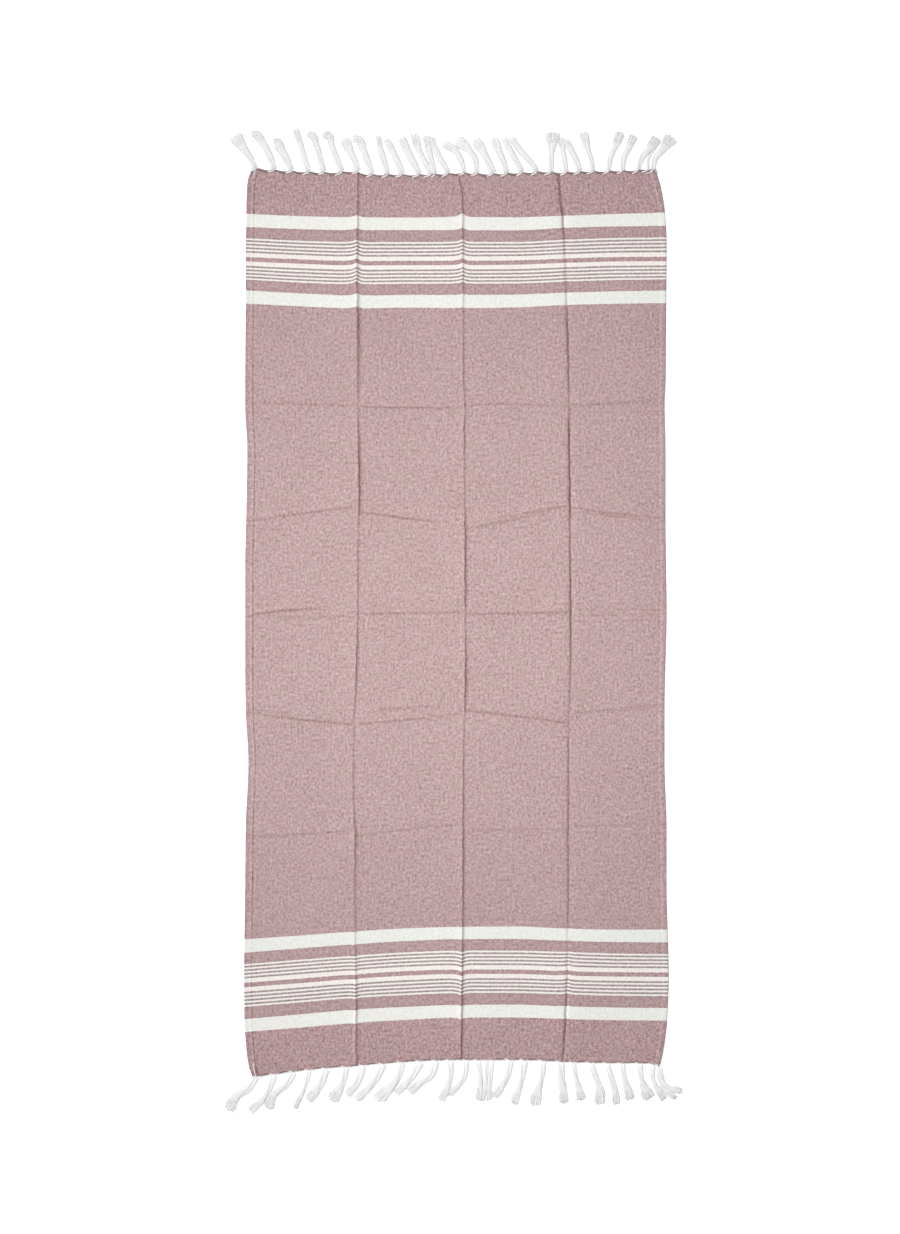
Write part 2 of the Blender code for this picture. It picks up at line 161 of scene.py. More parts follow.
# Cross creases: three points on each, its depth at those points, and how wide its
# steep side is. "ridge" is dark below its line, "groove" above it. main marks the
# crease that a row of the mesh follows.
Cross = namedtuple("Cross", "row panel x0 y0 x1 y1 x2 y2 sense d0 d1 d2 width main")
CROSS = [
    Cross(1, 0, 246, 404.7, 303, 405.1, 356, 406.9, "groove", 0.90, 1.40, 0.80, 4.0, True),
    Cross(1, 1, 357, 405.6, 410, 406.6, 462, 406.5, "ridge", 1.76, 2.08, 1.04, 3.4, True),
    Cross(1, 2, 463, 406.7, 515, 405.5, 569, 408.3, "groove", 1.08, 1.44, 0.54, 4.0, True),
    Cross(1, 3, 570, 403.4, 615, 401.9, 665, 397.0, "ridge", 1.38, 1.76, 0.55, 4.5, True),
    Cross(2, 0, 246, 520.0, 302, 512.1, 356, 505.2, "ridge", 1.08, 1.62, 1.38, 4.0, True),
    Cross(2, 1, 357, 512.8, 402, 519.0, 440, 524.2, "groove", 1.69, 2.56, 0.56, 4.0, True),
    Cross(2, 1, 430, 509.0, 445, 508.5, 462, 507.9, "groove", 0.30, 0.80, 0.90, 4.0, False),
    Cross(2, 2, 464, 527.9, 509, 519.2, 552, 509.8, "ridge", 1.05, 1.65, 0.33, 3.6, False),
    Cross(2, 2, 468, 522.7, 520, 512.7, 569, 504.2, "ridge", 0.33, 1.10, 1.65, 3.6, True),
    Cross(2, 3, 571, 508.2, 615, 514.6, 665, 518.7, "groove", 1.08, 1.60, 0.65, 3.0, True),
    Cross(2, 3, 571, 511.9, 612, 517.3, 665, 523.4, "groove", 0.95, 1.28, 0.60, 3.0, False),
    Cross(3, 0, 246, 614.7, 290, 608.9, 326, 607.5, "ridge", 1.12, 3.15, 0.84, 3.4, False),
    Cross(3, 0, 262, 615.8, 306, 615.5, 356, 615.3, "ridge", 0.50, 0.99, 1.27, 3.4, True),
    Cross(3, 1, 357, 614.9, 410, 614.2, 463, 613.6, "groove", 1.20, 1.26, 1.49, 4.0, True),
    Cross(3, 2, 464, 612.6, 517, 612.0, 570, 610.8, "ridge", 1.65, 1.85, 1.90, 4.0, True),
    Cross(3, 3, 571, 610.7, 615, 610.9, 665, 610.7, "groove", 0.48, 0.72, 0.48, 4.0, True),
    Cross(3, 3, 571, 616.4, 615, 616.0, 665, 615.4, "groove", 0.40, 0.50, 0.30, 4.0, False),
    Cross(4, 0, 246, 713.3, 303, 720.9, 354, 725.5, "groove", 1.05, 1.88, 1.56, 4.0, True),
    Cross(4, 0, 248, 710.1, 268, 712.0, 292, 715.1, "groove", 0.91, 0.96, 0.60, 3.4, False),
    Cross(4, 1, 354, 723.0, 402, 718.9, 462, 712.8, "ridge", 0.90, 1.52, 0.75, 3.6, True),
    Cross(4, 1, 374, 710.2, 406, 706.8, 444, 705.6, "ridge", 0.90, 1.80, 0.70, 3.6, False),
    Cross(4, 2, 463, 711.4, 517, 717.6, 569, 724.0, "groove", 1.40, 1.90, 1.68, 4.0, True),
    Cross(4, 3, 570, 712.5, 615, 707.9, 664, 703.5, "ridge", 0.90, 1.14, 1.23, 4.0, True),
    Cross(5, 0, 246, 835.1, 303, 832.7, 353, 828.9, "ridge", 0.72, 1.08, 0.81, 4.0, True),
    Cross(5, 1, 354, 837.3, 402, 831.1, 462, 825.7, "groove", 0.60, 0.81, 0.81, 4.5, True),
    Cross(5, 2, 462, 829.4, 517, 827.6, 569, 828.4, "ridge", 0.90, 0.95, 0.78, 6.0, True),
    Cross(5, 3, 570, 826.8, 615, 826.6, 666, 824.8, "groove", 0.54, 0.64, 0.36, 4.5, True),
]
ROWS = 5
PANELS = 4

# Small wrinkles: three points on each, a rise in millimetres (a dent is less than
# nothing) and its width.
Wrinkle = namedtuple("Wrinkle", "x0 y0 x1 y1 x2 y2 rise width")
WRINKLES = [
    Wrinkle(433, 368, 438, 377, 443, 387, 0.55, 3.4),
    Wrinkle(490, 369, 487, 378, 483, 388, 0.55, 3.4),
    Wrinkle(274, 344, 275.6, 368, 268, 385, 0.45, 3.6),
    Wrinkle(483, 426, 486, 438, 489, 450, 0.5, 3.4),
    Wrinkle(562, 535, 561, 546, 559, 556, 0.5, 2.6),
    Wrinkle(441, 741, 441.5, 768, 440, 791, 0.6, 3.0),
    Wrinkle(478.5, 735, 479.5, 760, 480, 788, 0.6, 3.0),
    Wrinkle(436, 876, 436, 886, 435, 897, 0.4, 3.0),
    Wrinkle(263, 740, 264, 770, 264, 800, 0.45, 3.4),
    Wrinkle(648, 873, 647, 890, 645, 905, 0.4, 3.2),
    Wrinkle(643, 360, 646, 371, 650, 382, 0.4, 3.2),
    Wrinkle(357, 409, 362, 408.5, 369, 406.5, 0.7, 2.4),
    Wrinkle(461, 401, 466, 404.5, 472, 405.5, 0.7, 2.6),
    Wrinkle(351, 716, 356, 722, 362, 729, 0.5, 2.6),
    Wrinkle(462, 700, 468, 706, 474, 711, 0.5, 2.6),
    Wrinkle(458, 520, 463, 527, 469, 531, 0.5, 2.6),
    Wrinkle(563, 497, 569, 503, 576, 507, 0.5, 2.6),
]

# Where the woven lines lie: down for each line at nine places across (left, middle of
# each panel and the creases between them, right), and how far along the flat cloth.
Weft = namedtuple("Weft", "along left p1 a p2 b p3 c p4 right")
WEFT = [
    Weft(81.7, 213.8, 216.2, 217.4, 217.6, 217.0, 217.3, 215.8, 214.0, 212.6),
    Weft(106.1, 227.0, 229.1, 230.1, 230.1, 230.3, 230.3, 227.9, 226.4, 225.9),
    Weft(140.4, 244.4, 247.1, 248.6, 248.5, 248.2, 248.2, 246.2, 244.4, 243.6),
    Weft(168.3, 259.2, 261.5, 263.3, 263.0, 263.0, 262.5, 260.7, 259.3, 259.0),
    Weft(196.2, 273.6, 276.5, 278.1, 277.5, 277.5, 277.3, 275.4, 273.8, 273.3),
    Weft(230.5, 290.3, 293.4, 295.6, 294.9, 294.9, 294.6, 292.6, 291.3, 290.5),
    Weft(254.9, 303.5, 306.3, 308.3, 307.6, 308.1, 307.4, 304.9, 303.7, 303.0),
    Weft(1432.9, 939.4, 935.6, 931.5, 928.3, 926.8, 926.5, 928.7, 929.7, 929.6),
    Weft(1457.3, 952.8, 948.4, 944.2, 941.0, 939.0, 939.0, 940.9, 942.0, 942.5),
    Weft(1491.6, 970.5, 966.0, 961.9, 958.5, 956.9, 957.0, 958.4, 959.9, 960.3),
    Weft(1519.5, 985.1, 980.9, 976.5, 973.3, 971.6, 971.7, 973.5, 974.4, 974.7),
    Weft(1547.4, 1000.3, 995.9, 991.4, 988.5, 986.4, 986.5, 988.0, 989.2, 989.6),
    Weft(1581.7, 1019.2, 1014.4, 1009.5, 1006.8, 1004.8, 1004.7, 1006.4, 1007.6, 1008.1),
    Weft(1606.1, 1032.0, 1027.6, 1022.8, 1019.7, 1017.5, 1017.5, 1019.0, 1020.2, 1020.6),
]
FLAT_LONG = 1687.8
FLAT_ACROSS = [0.0, 215.0, 418.0, 618.0, 800.0]    # left, a, b, c, right
# How far the woven lines rise to a peak at creases a, b and c.
Step = namedtuple("Step", "down a b c")
STEPS = [
    Step(168, 0.0, 0.0, 0.0), Step(200, 1.9, 3.2, 0.0), Step(216, 2.4, 4.0, 0.3), Step(229, 2.0, 2.6, 0.3),
    Step(246, 2.5, 2.5, 0.3), Step(263, 2.9, 2.5, 0.3), Step(280, 3.2, 2.1, 0.3), Step(293, 2.4, 0.9, 0.2),
    Step(308, 1.8, 0.7, 0.0), Step(340, 0.0, 0.0, 0.0), Step(900, 0.0, 0.0, 0.0), Step(928, -0.6, -0.3, 0.3),
    Step(944, -0.8, -1.0, 0.5), Step(958, -0.8, -2.0, 1.0), Step(975, -0.8, -2.2, 1.4),
    Step(990, -1.3, -2.4, 1.3), Step(1007, -0.9, -1.0, 0.6), Step(1020, -1.0, -1.6, 0.3),
    Step(1068, 0.0, 0.0, 0.0),
]

# Fringe cords: root, two places on the way and the tip, with the width at the root,
# middle and tip, all in units. curl is how far the tip turns over to its left, and fan
# is 1 where the loose tip spreads like a fan and 0 where it is a round head.
Cord = namedtuple("Cord", "x0 y0 x1 y1 x2 y2 x3 y3 root middle tip curl fan", defaults=[0.0])
TOP_CORDS = [
    Cord(255.2, 167.4, 249.2, 156.4, 243.4, 148.4, 235.2, 136.6, 5.5, 7, 14, 0, 1.0),
    Cord(273.9, 168.4, 269.4, 155.4, 263.4, 144.4, 254.9, 134.9, 6, 7, 9.5, 2),
    Cord(291.4, 168.4, 285.9, 158.9, 281.4, 150.4, 275.4, 143.4, 6, 8, 11, 1),
    Cord(308.4, 170.4, 304.4, 158.4, 300.9, 146.4, 296.6, 130.9, 5, 6, 6.5, 0),
    Cord(323.4, 169.4, 319.7, 157.4, 316.4, 145.4, 311.4, 134.9, 6, 6, 8, 3),
    Cord(341.4, 169.4, 336.4, 158.4, 331.9, 146.4, 328.4, 134.9, 6, 6, 7, 4),
    Cord(357.4, 168.4, 353.4, 158.9, 349.4, 149.9, 344.4, 139.6, 6.5, 7, 11, 0),
    Cord(371.4, 170.4, 366.7, 159.4, 362.9, 149.4, 357.4, 139.9, 6, 7, 10, 3),
    Cord(386.9, 170.4, 383.4, 160.4, 380.4, 149.4, 378.4, 137.4, 6, 6.5, 5.5, 0),
    Cord(401.4, 170.4, 396.4, 159.4, 391.9, 150.4, 386.4, 142, 7, 6.5, 8, 1),
    Cord(418.4, 170.4, 411.9, 160.4, 406.9, 150.4, 402.2, 139, 6, 7.5, 9, 0),
    Cord(430.4, 170.4, 423.4, 159.4, 417.9, 148.4, 414.9, 135.6, 6, 6, 9, 0),
    Cord(434.4, 170.4, 430.9, 159.4, 428.4, 148.4, 426.4, 137.4, 5, 6, 8, 0),
    Cord(447.4, 170.4, 440.9, 159.9, 435.4, 149.4, 431.2, 138.4, 6, 6, 7, 0),
    Cord(463.9, 170.4, 459.9, 158.4, 453.9, 149.4, 444.2, 144, 4.5, 6.5, 9, 0),
    Cord(476.4, 170.4, 474.2, 157.4, 467.8, 148.9, 457.6, 139.6, 6, 6, 12, 0),
    Cord(492.4, 169.4, 486.9, 159.4, 482.4, 150.9, 476, 140.6, 7, 7, 11, 0),
    Cord(506.4, 170.4, 502.2, 159.4, 498.4, 150.4, 494.6, 140, 6, 6.5, 9, 0),
    Cord(521.4, 170.4, 515.2, 159.9, 509.9, 149.9, 504.2, 139.4, 6, 6, 7, 0),
    Cord(536.4, 170.4, 528.4, 159.9, 519.4, 149.9, 511.8, 139, 6, 6.5, 7, 0),
    Cord(550.4, 170.4, 551.1, 158.4, 551.9, 147.4, 552.9, 134, 6, 5.5, 15, 0, 0.8),
    Cord(565.9, 170.4, 564.4, 158.4, 562.4, 148.4, 561.4, 139.4, 5, 5, 6, 0),
    Cord(579.4, 170.4, 575.6, 159.4, 570.9, 149.9, 565.6, 140.4, 6, 6, 8, 0),
    Cord(592.9, 170.4, 590.6, 158.9, 587, 147.4, 583.6, 133.8, 5, 5, 10, 0, 0.8),
    Cord(608.4, 169.4, 610.4, 157.4, 614.9, 146.9, 620.4, 133.6, 4.8, 6, 10, 0),
    Cord(622.4, 170.4, 623.4, 158.9, 628.4, 148.4, 633.4, 136.8, 5, 6, 9, 0),
    Cord(637.9, 169.4, 641.4, 158.4, 647.9, 150.4, 656, 139, 5, 6.5, 10, 0),
    Cord(647.9, 169.9, 647.9, 161.4, 651.9, 152.4, 658.4, 142.4, 3, 3, 4, 0),
    Cord(652.9, 169.4, 654.9, 159.4, 661.4, 150.9, 671, 138.6, 5, 6.5, 14, 0, 0.9),
]
BOTTOM_CORDS = [
    Cord(256.4, 1079.9, 248.4, 1088.4, 236.4, 1095.9, 229.6, 1108.8, 5.5, 8, 12, 0),
    Cord(274.4, 1077.4, 269.4, 1088.4, 260.9, 1101.4, 251, 1109.9, 6, 6, 9, 0),
    Cord(293.4, 1076.4, 285.9, 1084.9, 273, 1094.9, 269.2, 1107.4, 6, 7, 10, 0),
    Cord(309.4, 1075.4, 304.9, 1086.4, 299.9, 1098.4, 295.9, 1107, 4.5, 5, 5.5, 0),
    Cord(326.4, 1073.4, 320.9, 1082.9, 315.4, 1091.4, 309.4, 1099.4, 6.5, 8, 10, 0),
    Cord(346.4, 1071.4, 342.9, 1080.4, 338.9, 1089.4, 332.6, 1099.4, 6, 7.5, 13, 0),
    Cord(363.4, 1069.4, 359.4, 1077.9, 354.9, 1085.9, 348.6, 1094, 6, 7.5, 9, 0),
    Cord(383.4, 1067.4, 375.9, 1078.4, 367, 1088.9, 357.8, 1098.4, 6, 7.5, 9, 0),
    Cord(402.4, 1066.4, 396.4, 1078.9, 387, 1089.9, 377.4, 1098.4, 6, 8.5, 14, 0),
    Cord(420.4, 1067.4, 411.9, 1076.4, 404.4, 1084.9, 397, 1092, 6, 7.5, 8, 0),
    Cord(436.4, 1065.4, 430.4, 1075.9, 419.9, 1082.4, 410.2, 1091.4, 6, 7, 9, 0),
    Cord(450.4, 1064.4, 450.4, 1075.4, 447.4, 1087.4, 441.4, 1099, 6, 6, 9, 0),
    Cord(466.4, 1064.4, 464.4, 1075.4, 458.9, 1084.4, 450.2, 1093.4, 5.5, 6, 7, 0),
    Cord(478.4, 1066.4, 480.2, 1077.4, 480, 1088.4, 478.9, 1098.4, 5, 5.5, 6, 0),
    Cord(486.4, 1066.4, 486, 1077.4, 485, 1088.4, 483.4, 1098.4, 4, 4.5, 5, 0),
    Cord(492.4, 1065.4, 490.4, 1077.4, 489.4, 1088.4, 488.9, 1098.4, 4, 4.8, 5, 0),
    Cord(510.4, 1064.4, 506.7, 1076.4, 501.9, 1085.4, 495.4, 1095.4, 6, 7, 8, 0),
    Cord(524.4, 1063.4, 521.7, 1077.4, 518.4, 1089.4, 514.4, 1102.4, 7, 6, 8, 0),
    Cord(543.7, 1063.7, 541.4, 1077.4, 537.4, 1090.4, 534.9, 1103.4, 5.5, 6, 12.5, 0),
    Cord(561.1, 1063.7, 561.1, 1077.4, 562.8, 1090.4, 563.8, 1101.4, 7, 7.5, 10, 0),
    Cord(573.7, 1067.4, 575.7, 1078.4, 578.9, 1089.4, 581.1, 1098.4, 5, 5.2, 9, 0),
    Cord(591.1, 1066.4, 596.1, 1078.4, 599.9, 1090.4, 599.2, 1102.4, 6, 6, 12, 0),
    Cord(607.7, 1068.4, 611.7, 1080.4, 614.9, 1091.4, 616.4, 1102.4, 5, 6.5, 8, 0),
    Cord(622.4, 1068.4, 624.4, 1079.4, 627.8, 1089.9, 629.7, 1098, 5, 6, 10, 0),
    Cord(639.7, 1067.7, 641.2, 1079.4, 645.2, 1089.9, 649.1, 1097.2, 6, 6, 13, 0),
    Cord(653.2, 1070.4, 652.8, 1079.4, 657.9, 1089.4, 663.4, 1098.4, 4.6, 5, 8, 0),
    Cord(658, 1069.1, 660.4, 1080.9, 666.4, 1090.4, 674.4, 1097.1, 4, 4.8, 5.5, 0),
    Cord(660.8, 1073.4, 664.9, 1084.4, 672.4, 1088.8, 680.4, 1090.4, 3.4, 4.4, 7, 0),
]


# ================================================================= functions
def smooth_curve(at, keys, values):
    """Values along keys, smooth and without overshoot (monotone cubic), held flat
    past both ends."""
    keys = np.asarray(keys, float)
    values = np.asarray(values, float)
    steps = np.diff(keys)
    rates = np.diff(values) / steps
    slopes = np.empty_like(keys)
    slopes[0], slopes[-1] = rates[0], rates[-1]
    for i in range(1, len(keys) - 1):
        if rates[i - 1] * rates[i] <= 0:
            slopes[i] = 0.0
        else:
            w0 = 2 * steps[i] + steps[i - 1]
            w1 = steps[i] + 2 * steps[i - 1]
            slopes[i] = (w0 + w1) / (w0 / rates[i - 1] + w1 / rates[i])
    at = np.clip(np.asarray(at, float), keys[0], keys[-1])
    i = np.clip(np.searchsorted(keys, at, side="right") - 1, 0, len(steps) - 1)
    t = (at - keys[i]) / steps[i]
    return (
        values[i] * (1 + 2 * t) * (1 - t) ** 2
        + slopes[i] * steps[i] * t * (1 - t) ** 2
        + values[i + 1] * t * t * (3 - 2 * t)
        + slopes[i + 1] * steps[i] * t * t * (t - 1)
    )


def column_of(table, name):
    return [getattr(row, name) for row in table]


def ease(t):
    t = np.clip(t, 0.0, 1.0)
    return t * t * (3.0 - 2.0 * t)


def line_across(line, down):
    """Where selvedge 0 or 4, or long crease 1 to 3, lies at a height."""
    if line == 0:
        return smooth_curve(down, column_of(SELVEDGES, "down"), column_of(SELVEDGES, "left"))
    if line == 4:
        return smooth_curve(down, column_of(SELVEDGES, "down"), column_of(SELVEDGES, "right"))
    table = LONG["abc"[line - 1]]
    wobble = 0.22 * np.sin(np.asarray(down) / 3.9 + line) + 0.16 * np.sin(np.asarray(down) / 1.7 + 2 * line)
    return smooth_curve(down, column_of(table, "down"), column_of(table, "across")) + wobble


def through(at, x0, y0, x1, y1, x2, y2):
    """The parabola through three points."""
    return (
        y0 * (at - x1) * (at - x2) / ((x0 - x1) * (x0 - x2))
        + y1 * (at - x0) * (at - x2) / ((x1 - x0) * (x1 - x2))
        + y2 * (at - x0) * (at - x1) / ((x2 - x0) * (x2 - x1))
    )


# -------------------------------------------------------------- cloth relief
LONG_RISE = 1.25     # over the table's drops
CROSS_RISE = 1.5
LONG_REACH = 92.0    # how far a crease's slope reaches on its gentle side
CROSS_REACH = 66.0


def ridge(away, width, reach):
    """A fold's height: steep where away is more than nothing, gentle on the other side."""
    steep = 0.86 * np.exp(-((np.clip(away, 0, None) / width) ** 2))
    steep = steep + 0.14 * np.clip(1 - away / reach, 0, 1) ** 1.6
    gentle = 0.62 * np.clip(1 + away / reach, 0, 1) ** 1.4 + 0.38 * np.exp(np.clip(away, None, 0) / 5.0)
    return np.where(away > 0, steep, gentle)


def groove(away, width, reach):
    """Two low rolls with a line between them, steep where away is more than nothing."""
    far = np.abs(away)
    steep = 0.60 * (1 - np.exp(-((far / width) ** 1.7))) + 0.40 * (1 - np.exp(-far / 17.0))
    gentle = 0.20 * (1 - np.exp(-far / width)) + 0.35 * (1 - np.exp(-far / 20.0))
    return np.where(away > 0, steep, gentle) * np.clip(1 - far / reach, 0, 1) ** 1.6


def relief(across, down):
    """Height of the cloth's underside, and the shade painted into its colour at a crease
    (less than nothing where a highlight is painted beside it), for arrays of places in
    view units."""
    height = np.zeros(np.shape(across))
    shade = np.zeros(np.shape(across))
    for line in (1, 2, 3):
        name = "abc"[line - 1]
        table = LONG[name]
        keys = column_of(table, "down")
        drop = smooth_curve(down, keys, column_of(table, "drop"))
        width = smooth_curve(down, keys, column_of(table, "width"))
        light = smooth_curve(down, keys, column_of(table, "light"))
        away = (across - line_across(line, down)) * UNIT
        # besides its height, each long crease gets painted shade along its line and a painted highlight beside it
        if name == "c":
            height += LONG_RISE * 0.8 * drop * groove(-away, width * 0.8, LONG_REACH)
            shade += drop * np.exp(-(((away + 0.55 * width) / (0.54 * width)) ** 2)) * 0.20
            shade -= 0.45 * light * np.exp(-(((away - 2.0) / 1.7) ** 2))
        else:
            height += LONG_RISE * 0.85 * drop * ridge(away, width * 0.95, LONG_REACH)
            shade += drop * np.exp(-(((away - 0.5 * width) / (0.42 * width)) ** 2)) * 0.19
            shade -= 0.45 * light * np.exp(-(((away + 2.2) / 1.7) ** 2))
    for fold in CROSS:
        y = through(np.clip(across, fold.x0 - 2, fold.x2 + 2), fold.x0, fold.y0, fold.x1, fold.y1, fold.x2, fold.y2)
        depth = np.interp(across, [fold.x0, fold.x1, fold.x2], [fold.d0, fold.d1, fold.d2])
        fade = ease((across - fold.x0 + 2.0) / 9.0) * ease((fold.x2 - across + 2.0) / 9.0)
        if fold.main and fold.panel == 0:
            fade = ease((fold.x2 - across + 2.0) / 9.0)
        if fold.main and fold.panel == 3:
            fade = ease((across - fold.x0 + 2.0) / 9.0)
        depth = depth * fade
        away = (down - y) * UNIT
        # besides its height, each cross crease gets painted shade along its line
        if fold.sense == "groove":
            height += CROSS_RISE * depth * groove(-away, fold.width, CROSS_REACH)
            shade += depth * np.exp(-(((away + 2.0) / 2.3) ** 2)) * 0.20
        else:
            height += CROSS_RISE * 0.85 * depth * ridge(away, fold.width, CROSS_REACH)
            shade += depth * np.exp(-(((away - 0.45 * fold.width) / 2.0) ** 2)) * 0.18
    for w in WRINKLES:
        # distance from the two straight runs of the wrinkle, fading at its ends
        best = np.full(np.shape(across), 1e9)
        share = np.zeros(np.shape(across))
        runs = [(w.x0, w.y0, w.x1, w.y1, 0.0), (w.x1, w.y1, w.x2, w.y2, 0.5)]
        for xa, ya, xb, yb, start in runs:
            t = ((across - xa) * (xb - xa) + (down - ya) * (yb - ya)) / ((xb - xa) ** 2 + (yb - ya) ** 2)
            t = np.clip(t, 0, 1)
            gap = np.hypot(across - xa - t * (xb - xa), down - ya - t * (yb - ya)) * UNIT
            nearer = gap < best
            best = np.where(nearer, gap, best)
            share = np.where(nearer, start + t / 2, share)
        rise = w.rise * np.sin(np.pi * np.clip(share, 0.04, 0.96)) ** 0.7
        height += rise * np.exp(-((best / w.width) ** 2))
    # the cloth never lies quite flat between its creases
    x, y = across * UNIT, down * UNIT
    swell = (
        np.sin(x / 41.0 + y / 173.0 + 0.6)
        + np.sin(x / 67.0 - y / 59.0 + 2.1)
        + np.sin(y / 47.0 + 1.1 * np.sin(x / 90.0))
        + np.sin(x / 29.0 + y / 83.0 + 4.0) * 0.5
    )
    height += 0.42 * (swell / 3.5 + 1.0)
    # selvedges and ends lift a little here and there
    rim = np.minimum(across - line_across(0, down), line_across(4, down) - across) * UNIT
    height += 0.7 * np.exp(-np.clip(rim, 0, None) / 9.0) * (1 + np.sin(y / 37.0) * np.sin(y / 91.0 + 1.0))
    return height, np.clip(shade, -0.5, 1)


# ---------------------------------------------------------------- cloth mesh
def cuts(length, start, end, grow, most):
    """Shares of a length for mesh lines that are start and end apart at its two ends
    and widen to most between them."""
    places = [0.0]
    while places[-1] < length:
        here = places[-1]
        from_start = start + grow * here
        from_end = end + grow * max(0.0, length - here)
        places.append(here + min(from_start, from_end, most))
    places = np.array(places)
    return places / places[-1]


def edge_down(top, across):
    """The woven end: how far down it lies at a place across, with its scallops."""
    x = (across - 453.5) * UNIT
    y = smooth_curve(x, column_of(ENDS, "x"), column_of(ENDS, "top" if top else "bottom"))
    return 621.0 - y / UNIT


def scallop(top, across):
    """How far the woven end is drawn back between cord roots, in units, and how much
    shade is painted on a place in the notch between two roots (0 to 1)."""
    roots = column_of(TOP_CORDS if top else BOTTOM_CORDS, "x0")
    back = np.zeros(np.shape(across))
    dark = np.zeros(np.shape(across))
    for left, right in zip(roots, roots[1:]):
        share = (across - left) / (right - left)
        inside = (share > 0) & (share < 1)
        size = min(1.0, (right - left) / 16.0)
        back = np.where(inside, size * np.sin(np.pi * np.clip(share, 0, 1) ** 1.25) ** 1.2, back)
        dark = np.where(inside, size * np.exp(-(((share - 0.42) / 0.20) ** 2)), dark)
    return back * (1.3 if top else 0.8) - (0.35 if top else 0.1), dark


def sheet_grid():
    columns = []
    for panel in range(PANELS):
        fine = (1.6 if panel == 0 else 0.75, 1.6 if panel == PANELS - 1 else 0.75)
        shares = cuts(203.0, fine[0], fine[1], 0.11, 4.0)
        columns += [(panel, u) for u in (shares if panel == 0 else shares[1:])]
    lines = []
    for band in range(ROWS + 1):
        long_band = band in (0, ROWS)
        start = 1.3 if band == 0 else 1.0
        end = 1.3 if band == ROWS else 1.0
        shares = cuts({0: 450.0, ROWS: 450.0}.get(band, 205.0), start, end, 0.115, 8.0)
        lines += [(band, t) for t in (shares if band == 0 else shares[1:])]
    return columns, lines


def crease_level(level, panel, share):
    for fold in CROSS:
        if fold.row == level and fold.panel == panel and fold.main:
            left = [246.0, 356.0, 463.0, 569.5, 665.0][panel]
            right = [246.0, 356.0, 463.0, 569.5, 665.0][panel + 1]
            at = left + (right - left) * share
            return through(at, fold.x0, fold.y0, fold.x1, fold.y1, fold.x2, fold.y2)


def level_down(level, panel, share):
    """How far down the top end (0), a row of cross creases or the bottom end lies."""
    if level in (0, ROWS + 1):
        down = 168.5 if level == 0 else 1066.0
        left, right = float(line_across(panel, down)), float(line_across(panel + 1, down))
        return float(edge_down(level == 0, left + (right - left) * share))
    y = crease_level(level, panel, share)
    for other, near, far_end in ((panel - 1, share, 1.0), (panel + 1, 1.0 - share, 0.0)):
        if 0 <= other < PANELS:
            weight = 0.5 * (1 - float(ease(near * 203.0 / 8.0)))
            y = y * (1 - weight) + crease_level(level, other, far_end) * weight
    return y


def new_object(name, points, faces, loose=None):
    mesh = bpy.data.meshes.new(name)
    mesh.from_pydata(points.tolist(), [], faces)
    mesh.update()
    mesh.shade_smooth()
    piece = bpy.data.objects.new(name, mesh)
    bpy.context.scene.collection.objects.link(piece)
    return piece


def point_attribute(mesh, name, values):
    layer = mesh.attributes.new(name, "FLOAT_VECTOR", "POINT")
    layer.data.foreach_set("vector", np.asarray(values, np.float32).ravel())


